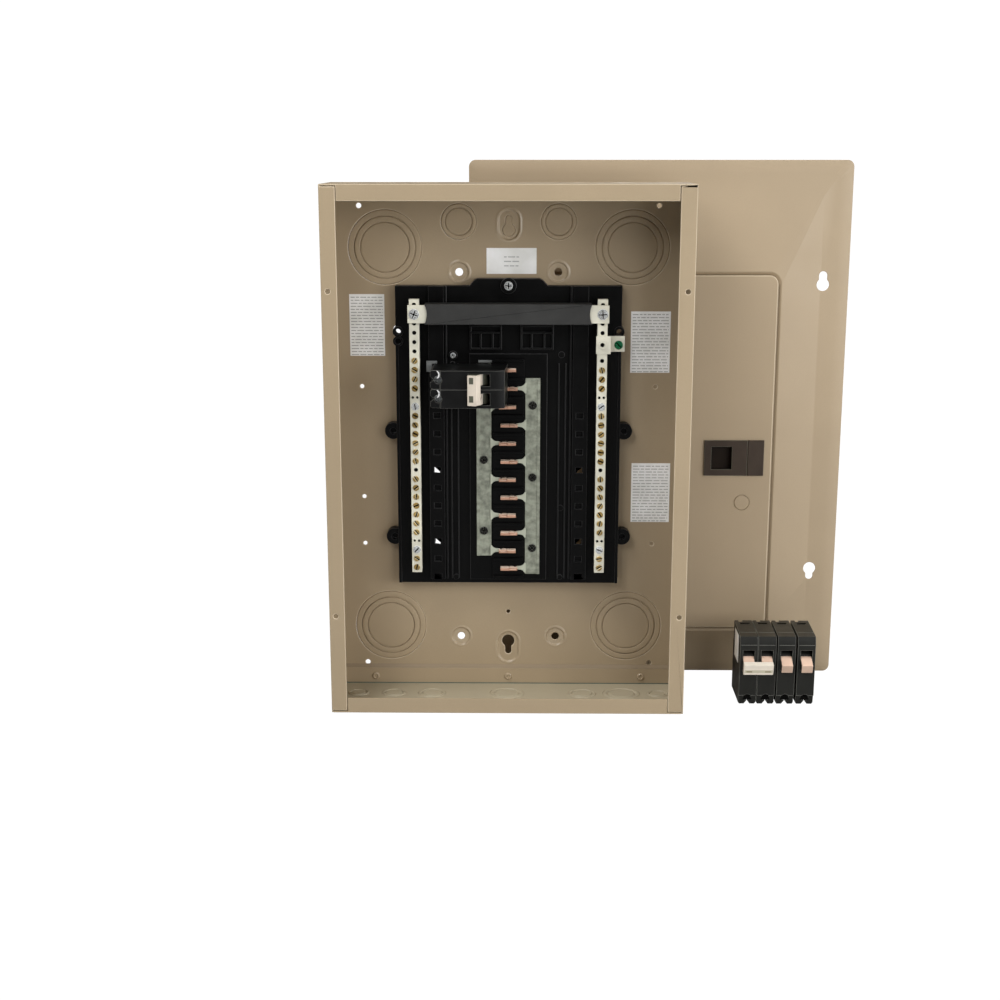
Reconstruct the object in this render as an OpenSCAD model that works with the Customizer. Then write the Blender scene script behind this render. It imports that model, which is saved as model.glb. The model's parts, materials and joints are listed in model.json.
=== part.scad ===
// Residential load center: an open enclosure with its plastic backpan, neutral bars, bus bars and
// plug-on main breaker, its flush cover with a hinged door standing behind, and three loose breakers.
// +X is right, +Y goes into the wall, +Z is up. The origin is the centre of the four wall-mounting
// holes, on their outer rims, where their dimples stand on the wall.

/* [Enclosure] */
// Outer width of the enclosure
box_w = 363.5; // [350:0.5:380]
// Outer height of the enclosure
box_h = 533.4; // [525:0.1:545]
// Outer depth of the enclosure
box_d = 98.4; // [95:0.1:105]
// Thickness of the enclosure's sheet steel
sheet_t = 1.5; // [1.2:0.1:2]
// Width of the front flanges
flange_w = 16; // [14:0.5:18]
// Height of the end walls' tabs on the back
back_tab_h = 19; // [16:0.5:22]

/* [Wall mounting] */
// Distance between the wall-mounting holes, side to side
mount_dx = 101.6; // [98:0.1:104]
// Distance between the wall-mounting holes, top to bottom
mount_dz = 389; // [386:0.5:391]
// Height of the lower wall-mounting holes above the bottom
mount_low = 54.6; // [52:0.1:57]
// Radius of a wall-mounting hole
mount_r = 4; // [3.5:0.1:4.4]

/* [Bus and breakers] */
// Distance between neighbouring breaker poles
pole_pitch = 19.05; // [19:0.01:19.1]
// Number of rows of breaker spaces
rows = 12; // [12]
// Height of the middle of the rows above the bottom of the enclosure
rows_mid = 241.5; // [239:0.5:244]
// Depth of the face that the breakers sit on, behind the enclosure's front
rail_y = 75; // [74:0.1:76]
// Length of a breaker from its wire end to its bus end
case_l = 76.8; // [76:0.1:77]
// Height of a breaker's face above the rail
case_h = 58; // [57.5:0.1:59]
// Turn of a breaker handle from off to on
handle_turn = 36; // [30:1:40]

/* [Neutral bars] */
// Distance of each neutral bar from the middle
bar_x = 95.5; // [95:0.1:96.5]
// Distance between neighbouring terminal positions
bar_pitch = 9.42; // [9.4:0.005:9.6]
// Number of terminal positions on each bar
bar_count = 30; // [30]
// Height of the lowest terminal position
bar_low = 140.2; // [139:0.1:141]

/* [Cover] */
// Width of the cover
cover_w = 400; // [396:1:404]
// Height of the cover
cover_h = 555; // [552:1:558]
// Middle of the cover, to the right of the enclosure's middle
cover_x = 158; // [156:0.5:160]
// Depth of the cover's outer edge behind the enclosure's front
cover_y = 149.4; // [148:0.1:160]
// Thickness of the cover's and door's sheet steel
cover_t = 1.2; // [1:0.1:1.5]
// Width of the door
door_w = 247; // [240:0.5:248]
// Height of the door
door_h = 381.7; // [378:0.1:386]
// Height of the door's lower edge
door_low = 55; // [54:0.5:58]
// Gap around the door, on the three sides without the hinge
door_gap = 1.2; // [1:0.1:1.6]
// Travel of the latch
latch_travel = 5; // [4:0.5:5]

/* [Loose breakers] */
// Left edge of the two-pole breaker
pair_x = 242.2; // [242:0.1:243]
// Left edge of the first single-pole breaker
single_1_x = 281.5; // [281.3:0.1:282]
// Left edge of the second single-pole breaker
single_2_x = 302.2; // [302:0.1:303]
// Depth of the loose breakers' bases behind the enclosure's front
loose_y = 88.7; // [85:0.1:90]

/* [Hidden] */
$fn = 48;

// Enclosure
side = box_w / 2;
inner_y = box_d - sheet_t;
tab_y = inner_y - sheet_t;
mount_high = mount_low + mount_dz;
mount_mid = (mount_low + mount_high) / 2;
flange_gap = 0.8;
cover_hole_x = 175;
cover_hole_z = [103.6, 431.6];
cover_hole_r = 2.4;
dimple_r = 10.8;
dimple_h = 1.2;
dimple_t = 1;
rivet_x = [-144, 0, 144];
rivet_inset = 9.6;
rivet_r = 2;
ring_step = 0.7;
big_rings = [37.9, 31.4, 25.2];
small_rings = [18.2, 13.6];
big_knockout_x = 126.6;
big_knockout_z = [66.9, 468.5];
small_knockout_x = 51;
small_knockout_z = 494.2;
end_knockouts_at = [
  [-159.6, 11.5], [-121.8, 13], [-81, 15], [-1, 18.3], [79.5, 15], [121.6, 20], [160.4, 11.5]
];
end_knockout_y = 62;
high_key_z = 485.9;
low_key_z = 49.3;
key_r = 6.6;
key_slot_r = 3.3;
key_slot_l = 11.5;

// Breaker rows
row_z = [for (i = [1:rows]) rows_mid + pole_pitch * ((rows + 1) / 2 - i)];
first_right_row = 2;
pan_y = 82;
pan_t = 3;
pan_side = 116;
pan_low = 118.5;
pan_high = 430.8;
pan_tab_high = 438;
pan_cells = [5, 7];
pan_rib = 2.6;
ear_x = 120.2;
ear_z = [168.3, 281];
ear_r = 8.7;
rail_x = [66.2, 81.8];
rail_z = [124, 392];
window_z = [165.3, 241.5];
window_x = 74.4;
window_w = 5.8;
peek_x = 113.4;
peek_z = 384.4;
peek_r = 2.9;

// Bus
bus_front = 76;
bus_t = 3;
bus_inner = 17.6;
bus_outer = 33;
bus_lip = 3.2;
stab_half = 8;
stab_t = 3.2;
stab_front = 67;
barrier_half = 16.6;
barrier_front = 75.5;
barrier_z = [127.5, 356];
bus_screw_r = 4.4;
left_bus_z = [149.5, 352];
right_bus_z = [129.7, 337.4];
left_bus_screws = [176.7, 252.4];
right_bus_screws = [158.1, 233.8, 309.4];

// Neutral bars
bar_half = 5.1;
bar_front = 62.5;
bar_back = 71;
bar_margin = 5.6;
bar_high = bar_low + bar_pitch * (bar_count - 1);
wire_hole_r = 2.7;
set_screw_r = 3.4;
mount_screw_r = 4.2;
lug_place = 28;
bond_z = 373.1;
bond_screw_z = 371.5;
bond_screw_x = 17.3;
brass_left = [0, 1, 4, 5, 6, 7, 8, 9, 10, 12, 13, 14, 15, 16, 17, 20, 21, 22, 23];
brass_right = [0, 1, 4, 5, 6, 7, 8, 9, 10, 12, 13, 14, 15, 16, 17, 20, 21, 22];
empty_left = [11, 24, 25, 26, 27, 29];
empty_right = [11, 23, 26, 27, 29];
double_places = [3, 19];
plated_places = [2, 18];
strap_y = [60, 62.5];
strap_z = [395, 413.2];
strap_end = 102;
insulator_y = [57.4, 60];
insulator_end = 84.6;
end_curve = 24;

// Breaker case, in its own frame: X from the wire end to the bus end, Y across the poles, Z up
case_gap = 0.25;
wall_t = 1.8;
face_t = 3;
cavity_x = [16, 64];
cavity_z = [6, case_h - face_t];
pivot_x = 49;
pivot_z = 44;
drum_r = 9.5;
trunnion_r = 2.5;
trunnion_gap = 0.05;
lever_w = 11.4;
lever_root = 6.5;
lever_tip = 4.6;
lever_l = 23;
slot_half = 10.8;
half_turn = handle_turn / 2;
main_x = -77.5;
main_z = row_z[1] - pole_pitch / 2 - 3.1;
arm_pivot_x = 30;
arm_pivot_z = 22;
arm_open = 9;
arm_l = 28;
lug_x = [2.5, 14.4];
lug_z = [22, 38];
screw_x = 8;
jaw_x = [67.3, 74.8];
jaw_z = [4, 14];
jaw_off = 3.1;
jaw_gap = 3.4;
jaw_t = 0.8;

// Cover
cover_left = cover_x - cover_w / 2;
rim_w = 14;
rim_drop = 3;
flat_w = 30;
plateau_rise = 9;
rim_y = cover_y - rim_drop;
plateau_y = rim_y - plateau_rise;
door_left = cover_x - door_w / 2;
door_right = door_left + door_w;
door_high = door_low + door_h;
hinge_gap = 5.2;
open_x = [door_left - hinge_gap, door_right + door_gap];
open_z = [door_low - door_gap, door_high + door_gap];
open_r = 9.7;
lip_out = 3.4;
lip_drop = 2.4;
door_y = plateau_y - cover_t;
door_back = door_y + 6.8;
floor_y = plateau_y + 9.4;
hinge_x = door_left + 3.5;
hinge_y = door_y + 4.3;
knuckle_l = 9;
knuckle_r = 2.8;
pin_r = 1.5;
pin_gap = 0.05;
twist_x = 41;
twist_w = 44.8;
cover_key_x = 172.5;
cover_key_high = 427.4;
cover_key_low = 119.4;
latch_z = 244;
latch_h = 38.5;
latch_x = [210, 256.4];
cap_x = [257, 274];
cup_x = [216, 241.4];
cup_z = [230, 258];
bolt_y = door_y + 4.6;
bolt_end = door_right + 0.8;
lock_x = 252.2;
lock_z = 195;
lock_r = 8.7;

// Colours
paint = "#beA88c";
cover_paint = "#b0a085";
black_plastic = "#1b1b1d";
tin = "#a9ada4";

// Helpers ---------------------------------------------------------------------------------------

// Everything is drawn with Z from the enclosure's bottom and Y from its front, then put in the frame
module placed() {
  translate([0, -box_d - dimple_h, -mount_mid]) children();
}

// A box between two X, two Y and two Z values
module block(x, y, z) {
  translate([x[0], y[0], z[0]]) cube([x[1] - x[0], y[1] - y[0], z[1] - z[0]]);
}

// Round bars along each axis
module rod_x(r, x) {
  translate([x[0], 0, 0]) rotate([0, 90, 0]) cylinder(r = r, h = x[1] - x[0]);
}
module rod_y(r, y) {
  translate([0, y[0], 0]) rotate([-90, 0, 0]) cylinder(r = r, h = y[1] - y[0]);
}
module rod_z(r, z) {
  translate([0, 0, z[0]]) cylinder(r = r, h = z[1] - z[0]);
}

// The children, and the same again on the left
module both_sides() {
  children();
  mirror([1, 0, 0]) children();
}

// A flat outline in X and Z, pushed between two Y values
module push_y(y) {
  translate([0, y[1], 0]) rotate([90, 0, 0]) linear_extrude(y[1] - y[0]) children();
}

// Keyhole outline: a circle and a slot that goes up (or down, when turned)
module keyhole(r, slot_r, slot_l) {
  circle(r = r);
  translate([-slot_r, 0]) square([2 * slot_r, slot_l]);
  translate([0, slot_l]) circle(r = slot_r);
}

// Screw with a slotted round head, its top facing the front
module front_screw(head_r, head_h, shank_r, shank_l) {
  difference() {
    rod_y(head_r, [-head_h, 0]);
    block([-head_r - 1, head_r + 1], [-head_h - 1, -head_h / 2], [-0.5, 0.5]);
  }
  rod_y(shank_r, [0, shank_l]);
}

// Enclosure -------------------------------------------------------------------------------------

module mount_places() {
  for (x = [-mount_dx / 2, mount_dx / 2], z = [mount_low, mount_high]) {
    translate([x, 0, z]) children();
  }
}

module big_knockout_places() {
  for (x = [-big_knockout_x, big_knockout_x], z = big_knockout_z) translate([x, 0, z]) children();
}

module small_knockout_places() {
  for (x = [-small_knockout_x, small_knockout_x]) translate([x, 0, small_knockout_z]) children();
}

module high_keyhole(y) {
  translate([0, 0, high_key_z]) push_y(y) keyhole(key_r, key_slot_r, key_slot_l);
}

module low_keyhole(y) {
  translate([0, 0, low_key_z]) mirror([0, 0, 1]) push_y(y) keyhole(key_r, key_slot_r, key_slot_l);
}

// Oval dimple around a keyhole, of half width w
module key_dimple(z, half, w, y) {
  push_y(y) {
    translate([0, z - half + w]) circle(r = w);
    translate([0, z + half - w]) circle(r = w);
    translate([-w, z - half + w]) square([2 * w, 2 * half - 2 * w]);
  }
}

module enclosure_wrapper() {
  through = [inner_y - 2, box_d + dimple_h + 1];
  raised = [box_d, box_d + dimple_h];
  pressed = [inner_y - 1, inner_y + dimple_h];
  color(paint) placed() difference() {
    union() {
      block([-side, side], [inner_y, box_d], [0, box_h]);
      both_sides() block([side - sheet_t, side], [0, box_d], [0, box_h]);
      both_sides() block([side - flange_w, side], [0, sheet_t], [flange_gap + sheet_t,
        box_h - flange_gap - sheet_t]);
      mount_places() rod_y(dimple_r, raised);
      key_dimple(high_key_z + 5.5, 16.5, 12, raised);
      key_dimple(low_key_z - 6.5, 18, 12, raised);
    }
    mount_places() rod_y(dimple_r - dimple_t, pressed);
    key_dimple(high_key_z + 5.5, 16.5 - dimple_t, 12 - dimple_t, pressed);
    key_dimple(low_key_z - 6.5, 18 - dimple_t, 12 - dimple_t, pressed);
    mount_places() rod_y(mount_r, through);
    high_keyhole(through);
    low_keyhole(through);
    big_knockout_places() rod_y(big_rings[0], through);
    small_knockout_places() rod_y(small_rings[0], through);
    for (x = [-152.6, 152.6], z = [24.9, 510.2]) translate([x, 0, z]) rod_y(2.6, through);
    for (x = [-152.8, 152.8], z = [157.9, 208.8, 326]) translate([x, 0, z]) rod_y(2.1, through);
    translate([0, 0, 82.5]) rod_y(2, through);
    for (x = [-window_x, window_x], z = window_z) translate([x, 0, z - 4.5]) rod_y(6.5, through);
    for (x = [-peek_x, peek_x]) translate([x, 0, peek_z]) rod_y(6, through);
    rivet_places() rod_y(rivet_r, through);
    bond_screw_place() rod_y(2.2, through);
    for (x = [-cover_hole_x, cover_hole_x], z = cover_hole_z) {
      translate([x, 0, z]) rod_y(cover_hole_r, [-1, sheet_t + 1]);
    }
  }
}

module rivet_places() {
  for (x = rivet_x, z = [rivet_inset, box_h - rivet_inset]) translate([x, 0, z]) children();
}

// Channel that closes the lower end; the upper one is its mirror image
module end_wall() {
  inside = side - sheet_t;
  difference() {
    union() {
      block([-inside, inside], [0, inner_y], [0, sheet_t]);
      block([-side + flange_w + flange_gap, side - flange_w - flange_gap], [0, sheet_t],
        [0, flange_w]);
      block([-inside + 1, inside - 1], [tab_y, inner_y], [0, back_tab_h]);
    }
    for (k = end_knockouts_at) {
      translate([k[0], end_knockout_y, 0]) rod_z(k[1], [-1, sheet_t + 1]);
    }
    for (x = rivet_x) translate([x, 0, rivet_inset]) rod_y(rivet_r, [tab_y - 1, inner_y + 1]);
  }
}

module at_top() {
  translate([0, 0, box_h]) mirror([0, 0, 1]) children();
}

module top_end_wall() {
  color(paint) placed() at_top() end_wall();
}

module bottom_end_wall() {
  color(paint) placed() end_wall();
}

module clinch_rivets() {
  color(paint) placed() rivet_places() {
    rod_y(3.7, [tab_y - 0.8, tab_y]);
    rod_y(rivet_r, [tab_y, box_d - 0.3]);
  }
}

// A knockout set on an axis along Y: rings pressed to alternate heights
module knockout_rings(radii) {
  for (i = [0:len(radii) - 1]) {
    drop = ring_step * ((i + 1) % 2);
    inner = i < len(radii) - 1 ? radii[i + 1] : 0;
    difference() {
      rod_y(radii[i], [inner_y - drop, box_d - drop]);
      if (inner > 0) rod_y(inner, [inner_y - 2, box_d + 1]);
    }
  }
}

module back_knockouts() {
  color(paint) placed() {
    big_knockout_places() knockout_rings(big_rings);
    small_knockout_places() knockout_rings(small_rings);
    high_keyhole([inner_y + dimple_h - 0.4, box_d + dimple_h - 0.4]);
  }
}

module end_knockout_discs() {
  for (k = end_knockouts_at) translate([k[0], end_knockout_y, 0]) {
    difference() {
      rod_z(k[1], [0, sheet_t]);
      rod_z(k[1] * 0.72, [-1, sheet_t + 1]);
    }
    rod_z(k[1] * 0.72, [0.5, sheet_t + 0.5]);
  }
}

module end_knockouts() {
  color(paint) placed() {
    end_knockout_discs();
    at_top() end_knockout_discs();
  }
}

// Backpan ---------------------------------------------------------------------------------------

module pan_outline() {
  polygon([
    [-pan_side, pan_low], [pan_side, pan_low], [pan_side, pan_high], [40, pan_high],
    [35.2, pan_tab_high - 1.8], [31.8, pan_tab_high], [-31.8, pan_tab_high],
    [-35.2, pan_tab_high - 1.8], [-40, pan_high], [-pan_side, pan_high]
  ]);
}

// Hollows between the stiffening ribs behind the pan's plate
module pan_hollows() {
  cell = [2 * pan_side / pan_cells[0], (pan_high - pan_low) / pan_cells[1]];
  for (i = [0:pan_cells[0] - 1], j = [0:pan_cells[1] - 1]) {
    x = -pan_side + i * cell[0];
    z = pan_low + j * cell[1];
    block([x + pan_rib, x + cell[0] - pan_rib], [pan_y + pan_t, inner_y + 1],
      [z + pan_rib, z + cell[1] - pan_rib]);
  }
}

// Ledge that the breakers' feet sit on, with a notch between every two rows
module breaker_rail() {
  difference() {
    union() {
      block(rail_x, [rail_y, pan_y], rail_z);
      block([rail_x[0], rail_x[1]], [78, pan_y], [rail_z[1], pan_high]);
    }
    for (i = [2:rows - 1]) {
      z = row_z[i] + pole_pitch / 2 - pole_pitch;
      block([70, 77.5], [rail_y - 1, rail_y + 4], [z - 3, z + 3]);
    }
  }
}

// Open box of ribs where main lugs can be fitted
module lug_well(x, z) {
  difference() {
    block(x, [77, pan_y], z);
    block([x[0] + 1.5, x[1] - 1.5], [76, pan_y - 0.01], [z[0] + 1.5, z[1] - 8.5]);
    block([x[0] + 1.5, x[1] - 1.5], [76, pan_y - 0.01], [z[1] - 7, z[1] - 1.5]);
  }
  for (f = [0.34, 0.72]) {
    middle = x[0] + f * (x[1] - x[0]);
    block([middle - 0.7, middle + 0.7], [77, pan_y], [z[0], z[1] - 7]);
  }
}

module backpan() {
  color(black_plastic) placed() difference() {
    union() {
      difference() {
        push_y([pan_y, inner_y]) pan_outline();
        pan_hollows();
      }
      for (x = [-ear_x, ear_x], z = ear_z) translate([x, 0, z]) rod_y(ear_r, [pan_y + 3, inner_y]);
      for (x = [-peek_x, peek_x]) {
        translate([x, 0, peek_z]) rod_y(5.4, [pan_y - 2, inner_y]);
        translate([x, 0, peek_z - 9.8]) rod_y(5.2, [pan_y - 2, inner_y]);
      }
      both_sides() {
        breaker_rail();
        block([63.4, 64.8], [77, pan_y], [124, pan_high]);
        block([58.6, 59.6], [79, pan_y], [124, 352]);
        block([51.6, 52.6], [79, pan_y], [124, 352]);
        block([bar_x - 4.5, bar_x + 4.5], [bar_back, pan_y], [bar_low - 6, bar_high + 4]);
        block([pan_side - 3, pan_side], [80, pan_y], [pan_low, 372]);
      }
      block([-40, 40], [bus_front + bus_t, pan_y], [123, 362]);
      translate([0, 0, 431]) rod_y(8, [79.5, pan_y]);
      lug_well([-39.5, -7], [366.4, 391.4]);
      lug_well([12.4, 46.2], [366.4, 391.4]);
      translate([-57, 0, 360.4]) rod_y(4.4, [78.5, pan_y]);
      translate([-57.5, 0, 351.5]) rod_y(2.6, [78.8, pan_y]);
      for (x = [-55.2, 54.4]) translate([x, 0, 125]) rod_y(2.9, [80.6, pan_y]);
      for (z = [200, 361]) translate([54.6, 0, z]) rod_y(3.2, [80.6, pan_y]);
    }
    for (x = [-ear_x, ear_x], z = ear_z) translate([x, 0, z]) rod_y(3.4, [pan_y, pan_y + 9]);
    for (x = [-peek_x, peek_x]) {
      translate([x, 0, peek_z]) rod_y(peek_r, [pan_y - 3, inner_y + 1]);
      translate([x, 0, peek_z - 9.8]) rod_y(3.4, [pan_y - 3, pan_y + 4]);
    }
    for (x = [-window_x, window_x], z = window_z) {
      block([x - window_w / 2, x + window_w / 2], [rail_y - 1, inner_y + 1],
        [z - window_w / 2, z + window_w / 2]);
      block([x - window_w / 2, x + window_w / 2], [rail_y + 1.4, inner_y + 1],
        [z - window_w / 2 - 6, z]);
    }
    for (p = pan_screw_places) translate([p[0], 0, p[1]]) rod_y(1.8, [p[2], inner_y - 1]);
    bond_screw_place() rod_y(2.5, [78.2, inner_y + 1]);
    bar_screw_places() rod_y(1.6, [bar_back - 1, bar_back + 8]);
    bus_screw_places() rod_y(1.8, [bus_front, pan_y + 2]);
  }
}

// Pan screws: place in X and Z, the depth of the face under the head, and the head's radius
pan_screw_places = [[0, 431, 79.5, 4.4], [-57, 360.4, 78.5, 2.9]];

module backpan_screws() {
  color(tin) placed() for (p = pan_screw_places) {
    translate([p[0], p[2], p[1]]) front_screw(p[3], 2.4, 1.8, 12);
  }
}

// Neutral bars ----------------------------------------------------------------------------------

function place_z(i) = bar_low + bar_pitch * i;

module bar_screw_places() {
  for (x = [-bar_x, bar_x], i = plated_places) translate([x, 0, place_z(i)]) children();
}

// Drilled terminal bar; screws holes open to the front, wire holes run across
module neutral_bar(tapped, empty) {
  difference() {
    block([-bar_half, bar_half], [bar_front, bar_back], [bar_low - bar_margin, bar_high + bar_margin]);
    for (i = tapped) translate([0, 0, place_z(i)]) {
      rod_y(1.9, [bar_front - 1, bar_front + 4.5]);
      translate([0, 66.7, 0]) rod_x(wire_hole_r, [-bar_half - 1, bar_half + 1]);
    }
    for (i = empty) translate([0, 0, place_z(i)]) {
      rod_y(2.1, [bar_front - 1, bar_front + 4.5]);
      translate([0, 66.7, 0]) rod_x(wire_hole_r, [-bar_half - 1, bar_half + 1]);
    }
    for (i = double_places, x = [-2.4, 2.4]) {
      translate([x, 0, place_z(i)]) rod_y(1.4, [bar_front - 1, bar_front + 5]);
    }
    for (i = plated_places) translate([0, 0, place_z(i)]) rod_y(1.6, [bar_front - 1, bar_back + 1]);
    translate([0, 0, place_z(lug_place)]) rod_y(2.4, [bar_front - 1, bar_back - 1]);
  }
}

module neutral_bar_left() {
  color("#c8cbb9") placed() translate([-bar_x, 0, 0]) neutral_bar(brass_left, empty_left);
}

module neutral_bar_right() {
  color("#c8cbb9") placed() translate([bar_x, 0, 0]) difference() {
    neutral_bar(brass_right, empty_right);
    translate([0, 0, bond_z]) rod_y(2.1, [bar_front - 1, bar_front + 6]);
  }
}

// Slotted set screw with its shank down in the bar
module set_screw() {
  front_screw(set_screw_r, 1.1, 1.9, 1.4);
}

module set_screws() {
  color("#aa965a") placed() {
    for (i = brass_left) translate([-bar_x, bar_front, place_z(i)]) set_screw();
    for (i = brass_right) translate([bar_x, bar_front, place_z(i)]) set_screw();
  }
}

module bar_mount_screws() {
  color(tin) placed() bar_screw_places() {
    translate([0, bar_front, 0]) front_screw(mount_screw_r, 1.8, 1.6, 14);
  }
}

module neutral_strap() {
  color("#c8cbb9") placed() difference() {
    block([-strap_end, strap_end], strap_y, strap_z);
    for (x = [-bar_x, bar_x]) translate([x, 0, place_z(lug_place)]) rod_y(2.4, [59, 63]);
  }
}

module strap_insulator() {
  color("#2f302e") placed() difference() {
    block([-insulator_end, insulator_end], [insulator_y[0], pan_y - 4], [strap_z[0] - 1.2,
      strap_z[1] + 1.2]);
    block([-insulator_end - 1, insulator_end + 1], strap_y, strap_z);
    block([-insulator_end - 1, insulator_end + 1], [strap_y[1] - 0.01, pan_y], [strap_z[0],
      strap_z[1]]);
    for (s = [-1, 1]) {
      translate([s * (insulator_end + end_curve - 2.2), 0, (strap_z[0] + strap_z[1]) / 2]) {
        rod_y(end_curve, [insulator_y[0] - 1, strap_y[0] + 0.01]);
      }
    }
  }
}

module strap_screws() {
  color(tin) placed() for (x = [-bar_x, bar_x]) {
    translate([x, strap_y[0], place_z(lug_place)]) front_screw(5.6, 3, 2.4, 7);
  }
}

module bonding_strap() {
  tab = [bond_z - 8.5, bond_z + 7.7];
  color("#c8cbb9") placed() difference() {
    union() {
      block([bar_x - 6.4, bar_x + 8.6], [bar_front - 1.2, bar_front], [bond_z - 9.1, bond_z + 9.1]);
      block([bar_x + 7.4, bar_x + 8.6], [bar_front - 1.2, 78], tab);
      block([bar_x + 7.4, bar_x + 23.6], [77, 78.2], tab);
      translate([bar_x, 0, bond_z]) rod_y(4.3, [bar_front - 2.4, bar_front]);
    }
    translate([bar_x, 0, bond_z]) rod_y(2.3, [bar_front - 4, bar_front + 1]);
    bond_screw_place() rod_y(2.2, [76, 79]);
  }
}

module bond_screw_place() {
  translate([bar_x + bond_screw_x, 0, bond_screw_z]) children();
}

// Runs through the pan and into the enclosure's back
module bonding_screw() {
  color("#1e825a") placed() bond_screw_place() translate([0, 77, 0]) {
    front_screw(4.5, 2.6, 2.2, box_d - 1.2 - 77);
  }
}

// Bus -------------------------------------------------------------------------------------------

module bus_screw_places() {
  for (z = left_bus_screws) translate([-25.4, 0, z]) children();
  for (z = right_bus_screws) translate([25.2, 0, z]) children();
}

// Flat bar with an outer lip and one flared finger to each row that it feeds
module bus_bar(z, feeds) {
  block([bus_inner, bus_outer], [bus_front, bus_front + bus_t], z);
  block([bus_outer - bus_lip, bus_outer], [rail_y + 0.3, bus_front + bus_t], z);
  for (i = feeds) translate([0, 0, row_z[i]]) push_y([bus_front - 1.5, bus_front]) finger();
}

module finger() {
  root = bus_inner + 1;
  polygon([
    [stab_half + 1.6, -1.8], [13.4, -2.1], [15.6, -3.2], [bus_inner, -5.6], [root, -5.6],
    [root, 5.6], [bus_inner, 5.6], [15.6, 3.2], [13.4, 2.1], [stab_half + 1.6, 1.8]
  ]);
}

module bus_bar_left() {
  color("#969e91") placed() difference() {
    mirror([1, 0, 0]) bus_bar(left_bus_z, [for (i = [0:2:rows - 1]) i]);
    bus_screw_places() rod_y(1.8, [bus_front - 4, pan_y]);
  }
}

module bus_bar_right() {
  color("#969e91") placed() difference() {
    bus_bar(right_bus_z, [for (i = [first_right_row - 1:2:rows - 1]) i]);
    bus_screw_places() rod_y(1.8, [bus_front - 4, pan_y]);
  }
}

module bus_screws() {
  color("#202020") placed() bus_screw_places() {
    translate([0, bus_front, 0]) front_screw(bus_screw_r, 2, 1.8, 7);
  }
}

// One upright blade to each row, with a foot that meets its bus bar's finger
module stab_blades() {
  color("#cda08c") placed() for (i = [0:rows - 1]) {
    way = i % 2 == 0 ? 1 : 0;
    translate([0, 0, row_z[i]]) mirror([way, 0, 0]) {
      block([-stab_half, stab_half], [stab_front, bus_front], [-stab_t / 2, stab_t / 2]);
      block([stab_half - 0.1, stab_half + 1.6], [bus_front - 1.5, bus_front], [-2.4, 2.4]);
    }
  }
}

// Black block between the bus bars, with a fin between every two stabs
module stab_barrier() {
  color(black_plastic) placed() {
    block([-barrier_half, barrier_half], [bus_front, bus_front + bus_t], barrier_z);
    for (i = [0:rows]) {
      z = row_z[0] + pole_pitch / 2 - pole_pitch * i;
      block([-barrier_half + 1, barrier_half - 1], [72.8, bus_front], [z - 1.1, z + 1.1]);
    }
  }
}

// Grey retainer along the main breaker's upper side, and the end of the clip beneath it
module hold_down_pad() {
  color("#6e7276") placed() {
    block([-84, -78.1], [70.5, rail_y], [344.4, 355.6]);
    block([-84, -73], [70.5, rail_y], [352.95, 355.6]);
    block([-31, -16.8], [78.6, bus_front + bus_t], [353.2, 355.8]);
  }
}

// Bare sheets where a printed label would be: place of the lower left corner, width and height
label_places = [[-22.7, 441.8, 51.2, 26.1], [-164.3, 357.7, 36.1, 63.4], [126.3, 340.6, 40.8, 63.2],
  [129.8, 181.8, 40.6, 63.4]];
label_t = 0.2;

module blank_labels() {
  color("#e1e1d7") placed() for (l = label_places) {
    block([l[0], l[0] + l[2]], [inner_y - label_t, inner_y], [l[1], l[1] + l[3]]);
  }
}

// Breakers, in the case's own frame -------------------------------------------------------------

module pole_places(poles) {
  for (i = [0:poles - 1]) translate([0, (i + 0.5) * pole_pitch, 0]) children();
}

// Side outline of a breaker case
module case_outline() {
  polygon([
    [3, 0], [57, 0], [57, 3], [case_l, 3], [case_l, 12], [74.3, 55.4], [65.6, case_h],
    [10.6, case_h], [9.6, 55.2], [0, 53.6], [0, 4]
  ]);
}

// Hollow of one pole: works, handle slot, trunnion holes, wire terminal and stab jaws
module pole_hollows() {
  half = pole_pitch / 2 - wall_t;
  block(cavity_x, [-half, half], cavity_z);
  block([pivot_x - slot_half, pivot_x + slot_half], [-lever_w / 2 - 0.4, lever_w / 2 + 0.4],
    [case_h - 5, case_h + 1]);
  translate([pivot_x, 0, pivot_z]) rod_y(trunnion_r + trunnion_gap, [-half - 1, half + 1]);
  block([-1, 14.4], [-6.6, 6.6], [22, 47]);
  translate([screw_x, 0, 0]) rod_z(4, [46, case_h + 1]);
  translate([0, 0, 46]) linear_extrude(case_h) polygon([[-1, -3.8], [-1, 3.8], [4.2, 0]]);
  for (s = [-1, 1]) translate([0, s * (pole_pitch / 2), -1]) {
    linear_extrude(case_h + 2) polygon([[-1, -2.2], [-1, 2.2], [2.2, 0]]);
  }
  translate([0, jaw_off, 0]) {
    block([case_l - 10.4, case_l - 1.6], [-4.3, 4.3], [2, 16.4]);
    block([case_l - 10.4, case_l + 1], [-1.9, 1.9], [-1, 8.6]);
  }
  block([case_l - 1.3, case_l + 1], [-4.8, 4.8], [15, 16.6]);
  block([61, 68.6], [-2.2, 2.2], [13, 14.6]);
}

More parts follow.
